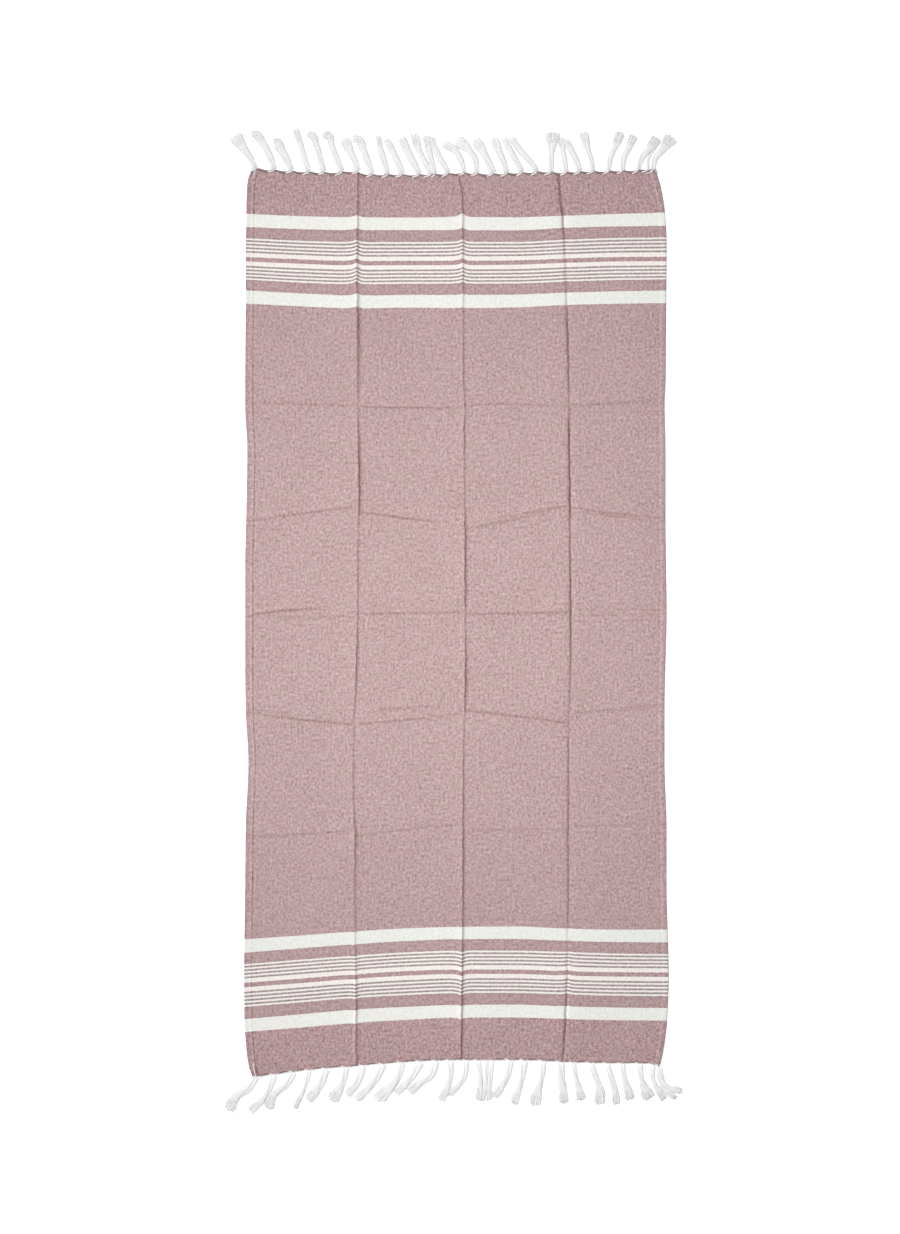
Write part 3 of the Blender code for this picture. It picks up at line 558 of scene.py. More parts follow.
def make_cloth():
    columns, lines = sheet_grid()
    across_count, down_count = len(columns), len(lines)
    panel = np.array([c[0] for c in columns])
    share = np.array([c[1] for c in columns])
    levels = np.array([[level_down(k, int(p), float(u)) for p, u in columns] for k in range(ROWS + 2)])

    band = np.array([b for b, _ in lines])
    part = np.array([t for _, t in lines])
    down = levels[band] * (1 - part)[:, None] + levels[band + 1] * part[:, None]
    limits = [line_across(k, down) for k in range(PANELS + 1)]
    across = np.empty_like(down)
    for p in range(PANELS):
        mine = panel == p
        across[:, mine] = limits[p][:, mine] + (limits[p + 1][:, mine] - limits[p][:, mine]) * share[mine]

    # the flat cloth's own coordinates
    station = 2.0 * (panel + share)
    names = ["left", "p1", "a", "p2", "b", "p3", "c", "p4", "right"]
    woven = [levels[0]]
    along = [0.0]
    for line in WEFT:
        woven.append(smooth_curve(station, range(9), [getattr(line, n) for n in names]))
        along.append(line.along)
    woven.append(levels[-1])
    along.append(FLAT_LONG)
    woven = np.array(woven)
    stepped = down.copy()
    for line, name in ((1, "a"), (2, "b"), (3, "c")):
        size = smooth_curve(down, column_of(STEPS, "down"), column_of(STEPS, name))
        away = (across - limits[line]) * UNIT
        stepped += size * np.where(away < 0, np.exp(away / 8.0), np.exp(-((away / 7.5) ** 1.5)))
    flat_v = np.empty_like(down)
    for j in range(across_count):
        flat_v[:, j] = smooth_curve(np.clip(stepped[:, j], woven[0, j], woven[-1, j]), woven[:, j], along)
    flat_u = np.interp(panel + share, range(5), FLAT_ACROSS)[None, :] + 0 * down

    # the ends are drawn back between the cords, and painted shade darkens the notches between them
    notch_shade = np.zeros_like(down)
    for top in (True, False):
        edge = levels[0] if top else levels[-1]
        gap = np.abs(down - edge) * UNIT
        pull, dark = scallop(top, across)
        move = pull * np.exp(-gap / 7.0)
        down = down + move if top else down - move
        notch_shade = np.maximum(notch_shade, dark * np.exp(-((gap / (3.2 if top else 1.8)) ** 2)) * (1.0 if top else 0.4))

    height, shade = relief(across, down)
    # the rim is thinner than the sheet
    i = np.arange(down_count)[:, None]
    j = np.arange(across_count)[None, :]
    rim = (i == 0) | (i == down_count - 1) | (j == 0) | (j == across_count - 1)
    thick = np.where(rim, EDGE_THICK, THICK)
    x, y = place(across, down, height + thick)
    upper = np.stack([x, y, height + thick], axis=-1) * MM

    # the underside is a coarser copy, three lines to one, that keeps the crease lines
    keep_j = sorted({int(k) for k in np.arange(0, across_count, 3)} | {int(np.argmax((panel == p) & (share == 1.0))) for p in range(PANELS)} | {across_count - 1})
    keep_i = sorted({int(k) for k in np.arange(0, down_count, 3)} | {int(np.argmax((band == b) & (part == 1.0))) for b in range(ROWS + 1)} | {down_count - 1})
    low = np.stack([x, y, height], axis=-1)[np.ix_(keep_i, keep_j)] * MM

    top_points = upper.reshape(-1, 3)
    low_points = low.reshape(-1, 3)
    n_top = len(top_points)
    ti = np.arange(down_count * across_count).reshape(down_count, across_count)
    li = n_top + np.arange(len(keep_i) * len(keep_j)).reshape(len(keep_i), len(keep_j))
    faces = []
    faces += np.stack([ti[:-1, :-1], ti[1:, :-1], ti[1:, 1:], ti[:-1, 1:]], -1).reshape(-1, 4).tolist()
    n_upper = len(faces)
    faces += np.stack([li[:-1, :-1], li[:-1, 1:], li[1:, 1:], li[1:, :-1]], -1).reshape(-1, 4).tolist()
    n_lower = len(faces) - n_upper

    def join(fine, fine_at, coarse, coarse_at, flip):
        """A strip of triangles between the fine rim above and the coarse one below."""
        out = []
        for k in range(len(coarse) - 1):
            a, b = fine_at.index(coarse_at[k]), fine_at.index(coarse_at[k + 1])
            half = (a + b + 1) // 2
            for m in range(a, b):
                low_corner = coarse[k] if m < half else coarse[k + 1]
                out.append((fine[m], fine[m + 1], low_corner))
            out.append((fine[half], coarse[k + 1], coarse[k]))
        return [f[::-1] for f in out] if flip else out

    all_j, all_i = list(range(across_count)), list(range(down_count))
    faces += join(ti[0].tolist(), all_j, li[0].tolist(), keep_j, False)
    faces += join(ti[-1].tolist(), all_j, li[-1].tolist(), keep_j, True)
    faces += join(ti[:, 0].tolist(), all_i, li[:, 0].tolist(), keep_i, True)
    faces += join(ti[:, -1].tolist(), all_i, li[:, -1].tolist(), keep_i, False)
    points = np.concatenate([top_points, low_points])
    piece = new_object("cloth", points, faces)
    mesh = piece.data

    flat = np.stack([flat_u, flat_v, 0 * flat_u], axis=-1) * MM
    painted_shade = np.stack([shade, notch_shade, 0 * shade], axis=-1)
    pick = np.ix_(keep_i, keep_j)
    point_attribute(mesh, "flat", np.concatenate([flat.reshape(-1, 3), flat[pick].reshape(-1, 3)]))
    point_attribute(mesh, "painted_shade", np.concatenate([painted_shade.reshape(-1, 3), 0.6 * painted_shade[pick].reshape(-1, 3)]))

    # one map: the face in the left half, the underside in the right half, and the rim
    # as a narrow flange round the face
    size = 0.575
    flat_points = np.concatenate([flat.reshape(-1, 3), flat[pick].reshape(-1, 3)])[:, :2]
    on_face = flat_points * size + [0.012, 0.012]
    on_back = flat_points * size + [0.525, 0.012]
    flange = on_face.copy()
    width, length = FLAT_ACROSS[-1] * MM, FLAT_LONG * MM
    flange[:, 0] += np.where(flat_points[:, 0] < 1e-6, -0.003, 0) + np.where(flat_points[:, 0] > width - 1e-6, 0.003, 0)
    flange[:, 1] += np.where(flat_points[:, 1] < 1e-6, -0.003, 0) + np.where(flat_points[:, 1] > length - 1e-6, 0.003, 0)
    corners = np.empty(len(mesh.loops), np.int32)
    mesh.loops.foreach_get("vertex_index", corners)
    totals = np.empty(len(mesh.polygons), np.int32)
    mesh.polygons.foreach_get("loop_total", totals)
    kind = np.repeat(np.concatenate([np.zeros(n_upper, int), np.ones(n_lower, int), np.full(len(faces) - n_upper - n_lower, 2)]), totals)
    uv = np.where((kind == 1)[:, None], on_back[corners], on_face[corners])
    uv = np.where(((kind == 2) & (corners >= n_top))[:, None], flange[corners], uv)
    layer = mesh.uv_layers.new(name="OFBake")
    layer.uv.foreach_set("vector", uv.astype(np.float32).ravel())
    return piece


# ------------------------------------------------------------------- fringes
def path_through(corners, count):
    """Evenly spaced points on a smooth curve through the corners."""
    corners = np.asarray(corners, float)
    runs = np.concatenate([[0], np.cumsum(np.hypot(*np.diff(corners, axis=0).T))])
    dense = np.linspace(0, runs[-1], 400)
    slopes = np.gradient(corners, runs, axis=0)
    i = np.clip(np.searchsorted(runs, dense, side="right") - 1, 0, len(runs) - 2)
    h = (runs[i + 1] - runs[i])[:, None]
    t = ((dense - runs[i]) / (runs[i + 1] - runs[i]))[:, None]
    line = (
        corners[i] * (1 + 2 * t) * (1 - t) ** 2
        + slopes[i] * h * t * (1 - t) ** 2
        + corners[i + 1] * t * t * (3 - 2 * t)
        + slopes[i + 1] * h * t * t * (t - 1)
    )
    lengths = np.concatenate([[0], np.cumsum(np.hypot(*np.diff(line, axis=0).T))])
    even = np.linspace(0, lengths[-1], count)
    return np.stack([np.interp(even, lengths, line[:, k]) for k in range(2)], -1), lengths[-1]


class Strands:
    """Collects closed tubes as one mesh, with each point's place along and around
    its strand, and which kind of strand it is."""

    def __init__(self):
        self.points, self.faces, self.lay, self.tone, self.count = [], [], [], [], 0

    def rings(self, rings, along, around, kind, dark=0.0, loose=0.0):
        """rings: (n, sides, 3) in millimetres, closed at both ends. dark is how much
        darker a place is and loose how far its twist has opened."""
        n, sides, _ = rings.shape
        first = self.count
        self.points.append(rings.reshape(-1, 3))
        lay = np.stack(
            [np.repeat(along, sides), np.broadcast_to(around, (n, sides)).ravel(), np.full(n * sides, float(kind))], -1
        )
        self.lay.append(lay)
        self.tone.append(np.stack([np.broadcast_to(v, (n, sides)).ravel() for v in (dark, loose, 0.0)], -1))
        k = first + np.arange(n * sides).reshape(n, sides)
        nxt = np.roll(k, -1, axis=1)
        quads = np.stack([k[:-1], nxt[:-1], nxt[1:], k[1:]], -1).reshape(-1, 4)
        self.faces += quads.tolist()
        self.faces.append(k[0][::-1].tolist())
        self.faces.append(k[-1].tolist())
        self.count += n * sides

    def tube(self, line, radius, sides, kind, flatten=1.0, dark=0.0):
        """A round strand along a line of points in millimetres."""
        line = np.asarray(line, float)
        ahead = np.gradient(line, axis=0)
        ahead /= np.linalg.norm(ahead, axis=1)[:, None] + 1e-9
        side = np.cross(ahead, [0.0, 0.0, 1.0])
        side /= np.linalg.norm(side, axis=1)[:, None] + 1e-9
        up = np.cross(side, ahead)
        turn = np.arange(sides) / sides * 2 * np.pi
        radius = np.broadcast_to(radius, (len(line),))
        ring = (
            line[:, None, :]
            + radius[:, None, None] * np.cos(turn)[None, :, None] * side[:, None, :]
            + flatten * radius[:, None, None] * np.sin(turn)[None, :, None] * up[:, None, :]
        )
        along = np.concatenate([[0], np.cumsum(np.linalg.norm(np.diff(line, axis=0), axis=1))])
        self.rings(ring, along, turn / (2 * np.pi), kind, dark)


SIDES_OF_CORD = 28
RINGS_OF_CORD = 34
RINGS_OF_HEAD = 10
TWIST_OPENS = 0.64    # where the twist of a cord opens into its loose tip
PAST_TIP = 1.5        # how far the loose tip reaches past its place in the table, in units


def add_cord(strands, cord, top):
    corners = [(cord.x0, cord.y0), (cord.x1, cord.y1), (cord.x2, cord.y2), (cord.x3, cord.y3)]
    out = -1.0 if top else 1.0
    if cord.curl:
        corners.append((cord.x3 - cord.curl * 1.3, cord.y3 - out * abs(cord.curl) * 0.5))
    # the bundle starts at the cloth's end
    edge = float(edge_down(top, cord.x0)) + out * (0.5 if top else 0.4)
    back = min(0.5, max(0.0, (cord.y0 - edge) / (cord.y1 - cord.y0)))
    corners[0] = (cord.x0 - 0.25 * back * (cord.x1 - cord.x0), cord.y0 - back * (cord.y1 - cord.y0))
    seen, length = path_through(corners, 80)
    length *= UNIT
    whole = np.linspace(0, 1, 80)
    ahead = np.gradient(seen, axis=0)
    ahead /= np.hypot(*ahead.T)[:, None]
    # in view units, down is positive, so the side vector is turned to match
    side = np.stack([-ahead[:, 1], ahead[:, 0]], -1) / UNIT
    # a top cord keeps its width up to its loose head, a bottom one widens to it slowly
    neck, grown, reached = (0.60, 0.05 + 0.15 * cord.fan, 0.85 - 0.33 * cord.fan) if top else (0.62, 0.30, 0.72)
    more = cord.tip - cord.middle
    keys = [0, 0.10, 0.42, neck, 0.77, 0.93, 1.0]
    widths = [cord.root, cord.root * 1.05, cord.middle, cord.middle + grown * more, cord.middle + reached * more, cord.tip, cord.tip]
    base_height, _ = relief(np.array([cord.x0]), np.array([edge_down(top, cord.x0) + (0.8 if top else -0.8)]))

    def at(f, lateral, z):
        inside = np.clip(f, 0, 1)
        past = np.clip(f - 1, 0, None) * length / UNIT
        px = np.interp(inside, whole, seen[:, 0]) + np.interp(inside, whole, side[:, 0]) * lateral + past * ahead[-1, 0]
        py = np.interp(inside, whole, seen[:, 1]) + np.interp(inside, whole, side[:, 1]) * lateral + past * ahead[-1, 1]
        x, y = place(px, py, z)
        return np.stack([x, y, z], -1)

    # the body runs to a rounded head
    tip = 1.0 + (0.3 if cord.curl else PAST_TIP) * UNIT / length
    rounding = min(0.3, 0.36 * (1 - 0.55 * cord.fan) * cord.tip * UNIT / length)
    shoulder = tip - rounding
    f = np.concatenate([
        np.linspace(0, shoulder, RINGS_OF_CORD, endpoint=False),
        shoulder + rounding * np.sin(np.linspace(0, 0.5 * np.pi, RINGS_OF_HEAD)),
    ])
    closing = np.sqrt(np.clip(1 - (np.clip(f - shoulder, 0, None) / rounding) ** 2, 0, 1))
    opened = ease((f - TWIST_OPENS) / 0.22)
    half = 0.5 * UNIT * smooth_curve(f, keys, widths) * np.clip(closing, 0.10, 1) * (1 - 0.06 * opened)
    bulk = min(1.0, 0.5 + 0.08 * cord.middle)
    high = smooth_curve(f, [0, 0.10, 0.45, 0.75, tip], [1.2, 2.0, 2.3, 1.7, 1.0]) * bulk * np.clip(closing, 0.35, 1) ** 0.7
    base = float(base_height[0]) * (1 - ease(f / 0.5)) + 0.05
    turn = np.arange(SIDES_OF_CORD) / SIDES_OF_CORD * 2 * np.pi
    phase = random.uniform(0.7, 1.4)
    pitch = random.uniform(150.0, 260.0)
    twist = phase + 2 * np.pi * f * length / pitch
    bow = turn[None, :] - twist[:, None]
    # two plies, so there is a groove on either side
    between = np.exp(-((np.sin(bow) / 0.24) ** 2)) * (1 - 0.8 * opened)[:, None]
    c, z = np.cos(turn)[None, :], np.sin(turn)[None, :]
    lumps = 1.0 + 0.025 * np.sin(0.55 * length * f[:, None] + phase * 9) * np.cos(3 * turn[None, :] + 2)
    lumps = lumps + 0.05 * opened[:, None] * np.sin(0.9 * length * f[:, None] + 5 * turn[None, :] + phase * 5)
    side_shift = half[:, None] * np.sign(c) * np.abs(c) ** 0.8 * (1 - 0.08 * between) * lumps
    rise = high[:, None] * np.sign(z) * np.abs(z) ** 0.6 * (1 - 0.45 * between)
    rise = rise - rise.min(axis=1)[:, None] + base[:, None] + 0.1
    # painted shade: a grey line along both sides of each cord and in the groove between its plies, and an even greying
    # of body and head, set apart for the top and the bottom fringe to match how the light falls on each
    painted_side_shade, haze, head = (0.17, 0.103, 0.055) if top else (0.14, 0.048, -0.004)
    dark = (painted_side_shade * np.abs(c) ** 7) * (1 - 0.75 * opened)[:, None] + 0.06 * between + (haze + (head - haze) * opened)[:, None]
    strands.rings(
        at(np.broadcast_to(f[:, None], rise.shape), side_shift, rise), f * length, bow / (2 * np.pi), 0,
        dark, opened[:, None],
    )

    # loose yarn ends, in a soft brush over and past the head
    count = int(round(4 + cord.tip * 0.9))
    for n in range(count):
        s = -1 + 2 * (n + 0.5 + random.uniform(-0.3, 0.3)) / count
        across_round = math.sqrt(max(0.0, 1 - s * s))
        start = TWIST_OPENS + random.uniform(-0.04, 0.10)
        end = tip - rounding * 0.9 * (1 - across_round) + random.uniform(-0.025, 0.055)
        g = np.linspace(start, end, 11)
        out_of = ease((g - start) / (0.4 * (end - start)))
        open_half = 0.5 * UNIT * smooth_curve(g, keys, widths)
        sway = 0.35 * np.sin(g * random.uniform(12, 26) + random.uniform(0, 6)) + random.uniform(-1.0, 1.0) * (g - start) * 5
        lateral = s * open_half * 0.98 + sway * out_of
        surface = np.interp(g, f, high) * (1 + max(0.0, 1 - abs(s) ** 2.5) ** 0.3) + np.interp(g, f, base) + 0.1
        z = np.clip(surface - 1.1 + 1.15 * out_of, 0.75, None)
        # each loose end has its own tone, greyed more on the top fringe as painted shade
        strands.tube(at(g, lateral, z), 0.80 * np.linspace(0.95, 0.75, 11), 6, 1 + random.uniform(0.02, 0.85), 1.0, random.uniform(0.012, 0.048) if top else random.uniform(-0.055, 0.045))


def add_roots(strands, cord, top, whole):
    """The drawn-together warp at the foot of a cord, lying on the cloth's end."""
    out = -1.0 if top else 1.0
    if top:
        # across and inward from the root, in units: where the yarns leave the weave,
        # on their way and where they join the cord
        legs, yarns, radius, gap = [(-6.6, 3.0), (-3.6, 2.1), (-0.6, 0.8), (1.2, -1.0)], 3, 0.49, 0.46
    else:
        legs, yarns, radius, gap = [(-5.6, 1.7), (-2.4, 0.6), (0.4, -0.1), (4.4, 0.8)], 3, 0.50, 0.40
    reach = random.uniform(0.85, 1.1) * whole
    tilt = random.uniform(0.85, 1.15)
    for n in range(yarns):
        side = (n - (yarns - 1) / 2) * gap
        t = np.linspace(0, 1, 12)
        px = cord.x0 + np.interp(t, [0, 0.4, 0.75, 1], [leg[0] for leg in legs]) * reach - side * 0.4 * out
        inward = smooth_curve(t, [0, 0.4, 0.75, 1], [leg[1] for leg in legs]) * tilt
        py = edge_down(top, px) - out * (inward + side * np.interp(t, [0, 0.8, 1], [1, 1, 0.4]))
        z, _ = relief(px, py)
        z = z + THICK + np.interp(t, [0, 0.10, 0.85, 1.0], [-0.4, 1.0, 1.0, 0.2] if top else [-0.4, 0.6, 0.7, 0.1])
        x, y = place(px, py, z)
        strands.tube(np.stack([x, y, z], -1), radius * np.interp(t, [0, 0.5, 1], [0.75, 1.1, 0.9]), 8, 2, 0.55, 0.05 if top else 0.0)


def add_last_picks_and_shadow(strands, cords, top):
    """The last coloured picks between two cords, pushed back by the knots. Their rose is darker than the cloth's:
    painted shadow in the notches between the cords.
    """
    out = -1.0 if top else 1.0
    for cord, after in zip(cords, cords[1:]):
        gap = after.x0 - cord.x0
        if gap < 9:
            continue
        if top:
            runs, radius = [(0.9, 0.62 * gap, 0.35), (1.4, 0.74 * gap, 1.05), (0.26 * gap, 0.74 * gap, 1.75)], 0.85
        else:
            first, last = random.uniform(2.4, 3.6), min(12.5, gap * random.uniform(0.72, 0.86))
            runs, radius = [(first, last, 1.0), (first + 1.0, last - 1.0, 1.75)], 0.8
        for first, last, depth in runs:
            px = cord.x0 + np.linspace(first, last, 14)
            pull, _ = scallop(top, px)
            py = edge_down(top, px) - out * (pull + depth + random.uniform(-0.15, 0.15))
            z, _ = relief(px, py)
            ends = np.sin(np.linspace(0.02, 0.98, 14) * np.pi) ** 0.4
            z = z + THICK + radius * (0.9 * ends - 0.5)
            x, y = place(px, py, z)
            strands.tube(np.stack([x, y, z], -1), radius * (0.6 + 0.4 * ends), 6, 3)


# Threads at the corners: where each runs, in view units, and its kind (2 pale, 3 dark rose, darkened as painted shade
# at the corners).
Thread = namedtuple("Thread", "x0 y0 x1 y1 radius kind top")
CORNER_THREADS = [
    Thread(255.4, 168.6, 253.2, 177.5, 0.75, 2, True), Thread(253.4, 168.2, 250.6, 177.5, 0.7, 3, True),
    Thread(257.2, 168.0, 265.2, 170.4, 0.65, 3, True), Thread(655.2, 168.0, 657.4, 174.5, 0.7, 3, True),
    Thread(642.0, 171.2, 651.4, 171.2, 0.6, 3, True), Thread(646.0, 173.6, 652.4, 171.8, 0.75, 2, True),
    Thread(253.0, 1063.2, 255.7, 1077.4, 0.85, 2, False), Thread(251.2, 1071.0, 253.4, 1078.0, 0.75, 3, False),
    Thread(255.2, 1066.6, 257.0, 1073.6, 0.75, 3, False), Thread(257.2, 1076.0, 262.6, 1074.8, 0.8, 3, False),
    Thread(263.6, 1075.2, 269.2, 1073.6, 0.8, 3, False), Thread(659.4, 1061.0, 657.8, 1070.4, 0.95, 3, False),
]


def add_corner_threads(strands, top):
    for thread in CORNER_THREADS:
        if thread.top == top:
            t = np.linspace(0, 1, 10)
            px = thread.x0 + (thread.x1 - thread.x0) * t + 0.15 * np.sin(9 * t)
            py = thread.y0 + (thread.y1 - thread.y0) * t
            z, _ = relief(px, py)
            ends = np.sin(np.linspace(0.02, 0.98, 10) * np.pi) ** 0.4
            z = z + THICK + thread.radius * (0.9 * ends - 0.5)
            x, y = place(px, py, z)
            strands.tube(np.stack([x, y, z], -1), thread.radius * (0.6 + 0.4 * ends), 6, thread.kind)


def add_edge_yarn(strands, top):
    """The last white pick, which lies along the woven end."""
    out = -1.0 if top else 1.0
    edge = 168.5 if top else 1066.0
    left, right = float(line_across(0, edge)), float(line_across(4, edge))
    px = np.linspace(left + 1.2, right - 1.2, 420)
    roots = np.array(column_of(TOP_CORDS if top else BOTTOM_CORDS, "x0"))
    near = np.abs(px[:, None] - roots[None, :]).min(axis=1)
    wave = 0.75 * np.exp(-((near / 3.2) ** 2)) + 0.16 * np.sin(px * 1.7) + 0.12 * np.sin(px * 0.9 + 1.0)
    py = edge_down(top, px) + out * (wave - 0.75)
    z, _ = relief(px, py)
    z = z + THICK * 0.8
    x, y = place(px, py, z)
    strands.tube(np.stack([x, y, z], -1), 0.75 + 0.2 * np.sin(px * 0.8), 6, 2)


def make_fringe(name, cords, top):
    strands = Strands()
    for number, cord in enumerate(cords):
        add_cord(strands, cord, top)
        whole = 1.0
        if number and cord.x0 - cords[number - 1].x0 < 9:
            whole = 0.4
        add_roots(strands, cord, top, whole)
    add_last_picks_and_shadow(strands, cords, top)
    add_corner_threads(strands, top)
    if not top:
        add_edge_yarn(strands, top)
    piece = new_object(name, np.concatenate(strands.points) * MM, strands.faces)
    point_attribute(piece.data, "lay", np.concatenate(strands.lay))
    point_attribute(piece.data, "tone", np.concatenate(strands.tone))
    return piece


# ---------------------------------------------------------------- materials
class Nodes:
    """Short calls for a material's nodes."""

    def __init__(self, name):
        self.material = bpy.data.materials.new(name)
        self.material.use_nodes = True
        self.tree = self.material.node_tree
        self.shader = self.tree.nodes["Principled BSDF"]

    def put(self, socket, value):
        if isinstance(value, bpy.types.NodeSocket):
            self.tree.links.new(value, socket)
        else:
            socket.default_value = value

    def math(self, operation, a, b=0.0, c=0.0, clamp=False):
        node = self.tree.nodes.new("ShaderNodeMath")
        node.operation = operation
        node.use_clamp = clamp
        for socket, value in zip(node.inputs, (a, b, c)):
            self.put(socket, value)
        return node.outputs[0]

    def attribute(self, name):
        node = self.tree.nodes.new("ShaderNodeAttribute")
        node.attribute_name = name
        split = self.tree.nodes.new("ShaderNodeSeparateXYZ")
        self.tree.links.new(node.outputs["Vector"], split.inputs[0])
        return split.outputs[0], split.outputs[1], split.outputs[2]

    def vector(self, x, y, z=0.0):
        node = self.tree.nodes.new("ShaderNodeCombineXYZ")
        for socket, value in zip(node.inputs, (x, y, z)):
            self.put(socket, value)
        return node.outputs[0]

    def noise(self, where, scale=1.0, detail=1.0, rough=0.5):
        node = self.tree.nodes.new("ShaderNodeTexNoise")
        node.noise_dimensions = "3D"
        self.put(node.inputs["Vector"], where)
        node.inputs["Scale"].default_value = scale
        node.inputs["Detail"].default_value = detail
        node.inputs["Roughness"].default_value = rough
        return node.outputs[0]

    def ramp(self, value, stops, ease_type="LINEAR"):
        node = self.tree.nodes.new("ShaderNodeValToRGB")
        node.color_ramp.interpolation = ease_type
        elements = node.color_ramp.elements
        while len(elements) < len(stops):
            elements.new(0.5)
        for element, (at, colour) in zip(elements, stops):
            element.position = at
            element.color = (*colour, 1.0) if len(colour) == 3 else colour
        self.put(node.inputs[0], value)
        return node.outputs[0]

    def mix(self, share, a, b, blend="MIX"):
        node = self.tree.nodes.new("ShaderNodeMix")
        node.data_type = "RGBA"
        node.blend_type = blend
        node.clamp_factor = True
        self.put(node.inputs[0], share)
        self.put(node.inputs[6], a if isinstance(a, bpy.types.NodeSocket) else (*a, 1.0))
        self.put(node.inputs[7], b if isinstance(b, bpy.types.NodeSocket) else (*b, 1.0))
        return node.outputs[2]

    def bump(self, height, distance, strength=1.0):
        node = self.tree.nodes.new("ShaderNodeBump")
        node.inputs["Strength"].default_value = strength
        node.inputs["Distance"].default_value = distance
        self.put(node.inputs["Height"], height)
        self.tree.links.new(node.outputs[0], self.shader.inputs["Normal"])


ROSE = (0.430, 0.299, 0.302)
ROSE_STRIPES = (0.414, 0.284, 0.287)
ROSE_LINES = (0.350, 0.282, 0.285)      # among the hairlines
ROSE_ENDS = (0.436, 0.291, 0.297)
WHITE_IN_PAINTED_SHADE = (0.735, 0.738, 0.704)        # the bands by the body, darkened: painted shade against the lamp's brighter middle
WHITE_OUT_PAINTED_LIGHT = (0.785, 0.778, 0.745)       # the bands by the fringes, paler: painted light where the lamp's light falls off
LINE_WHITE = (0.81, 0.765, 0.735)


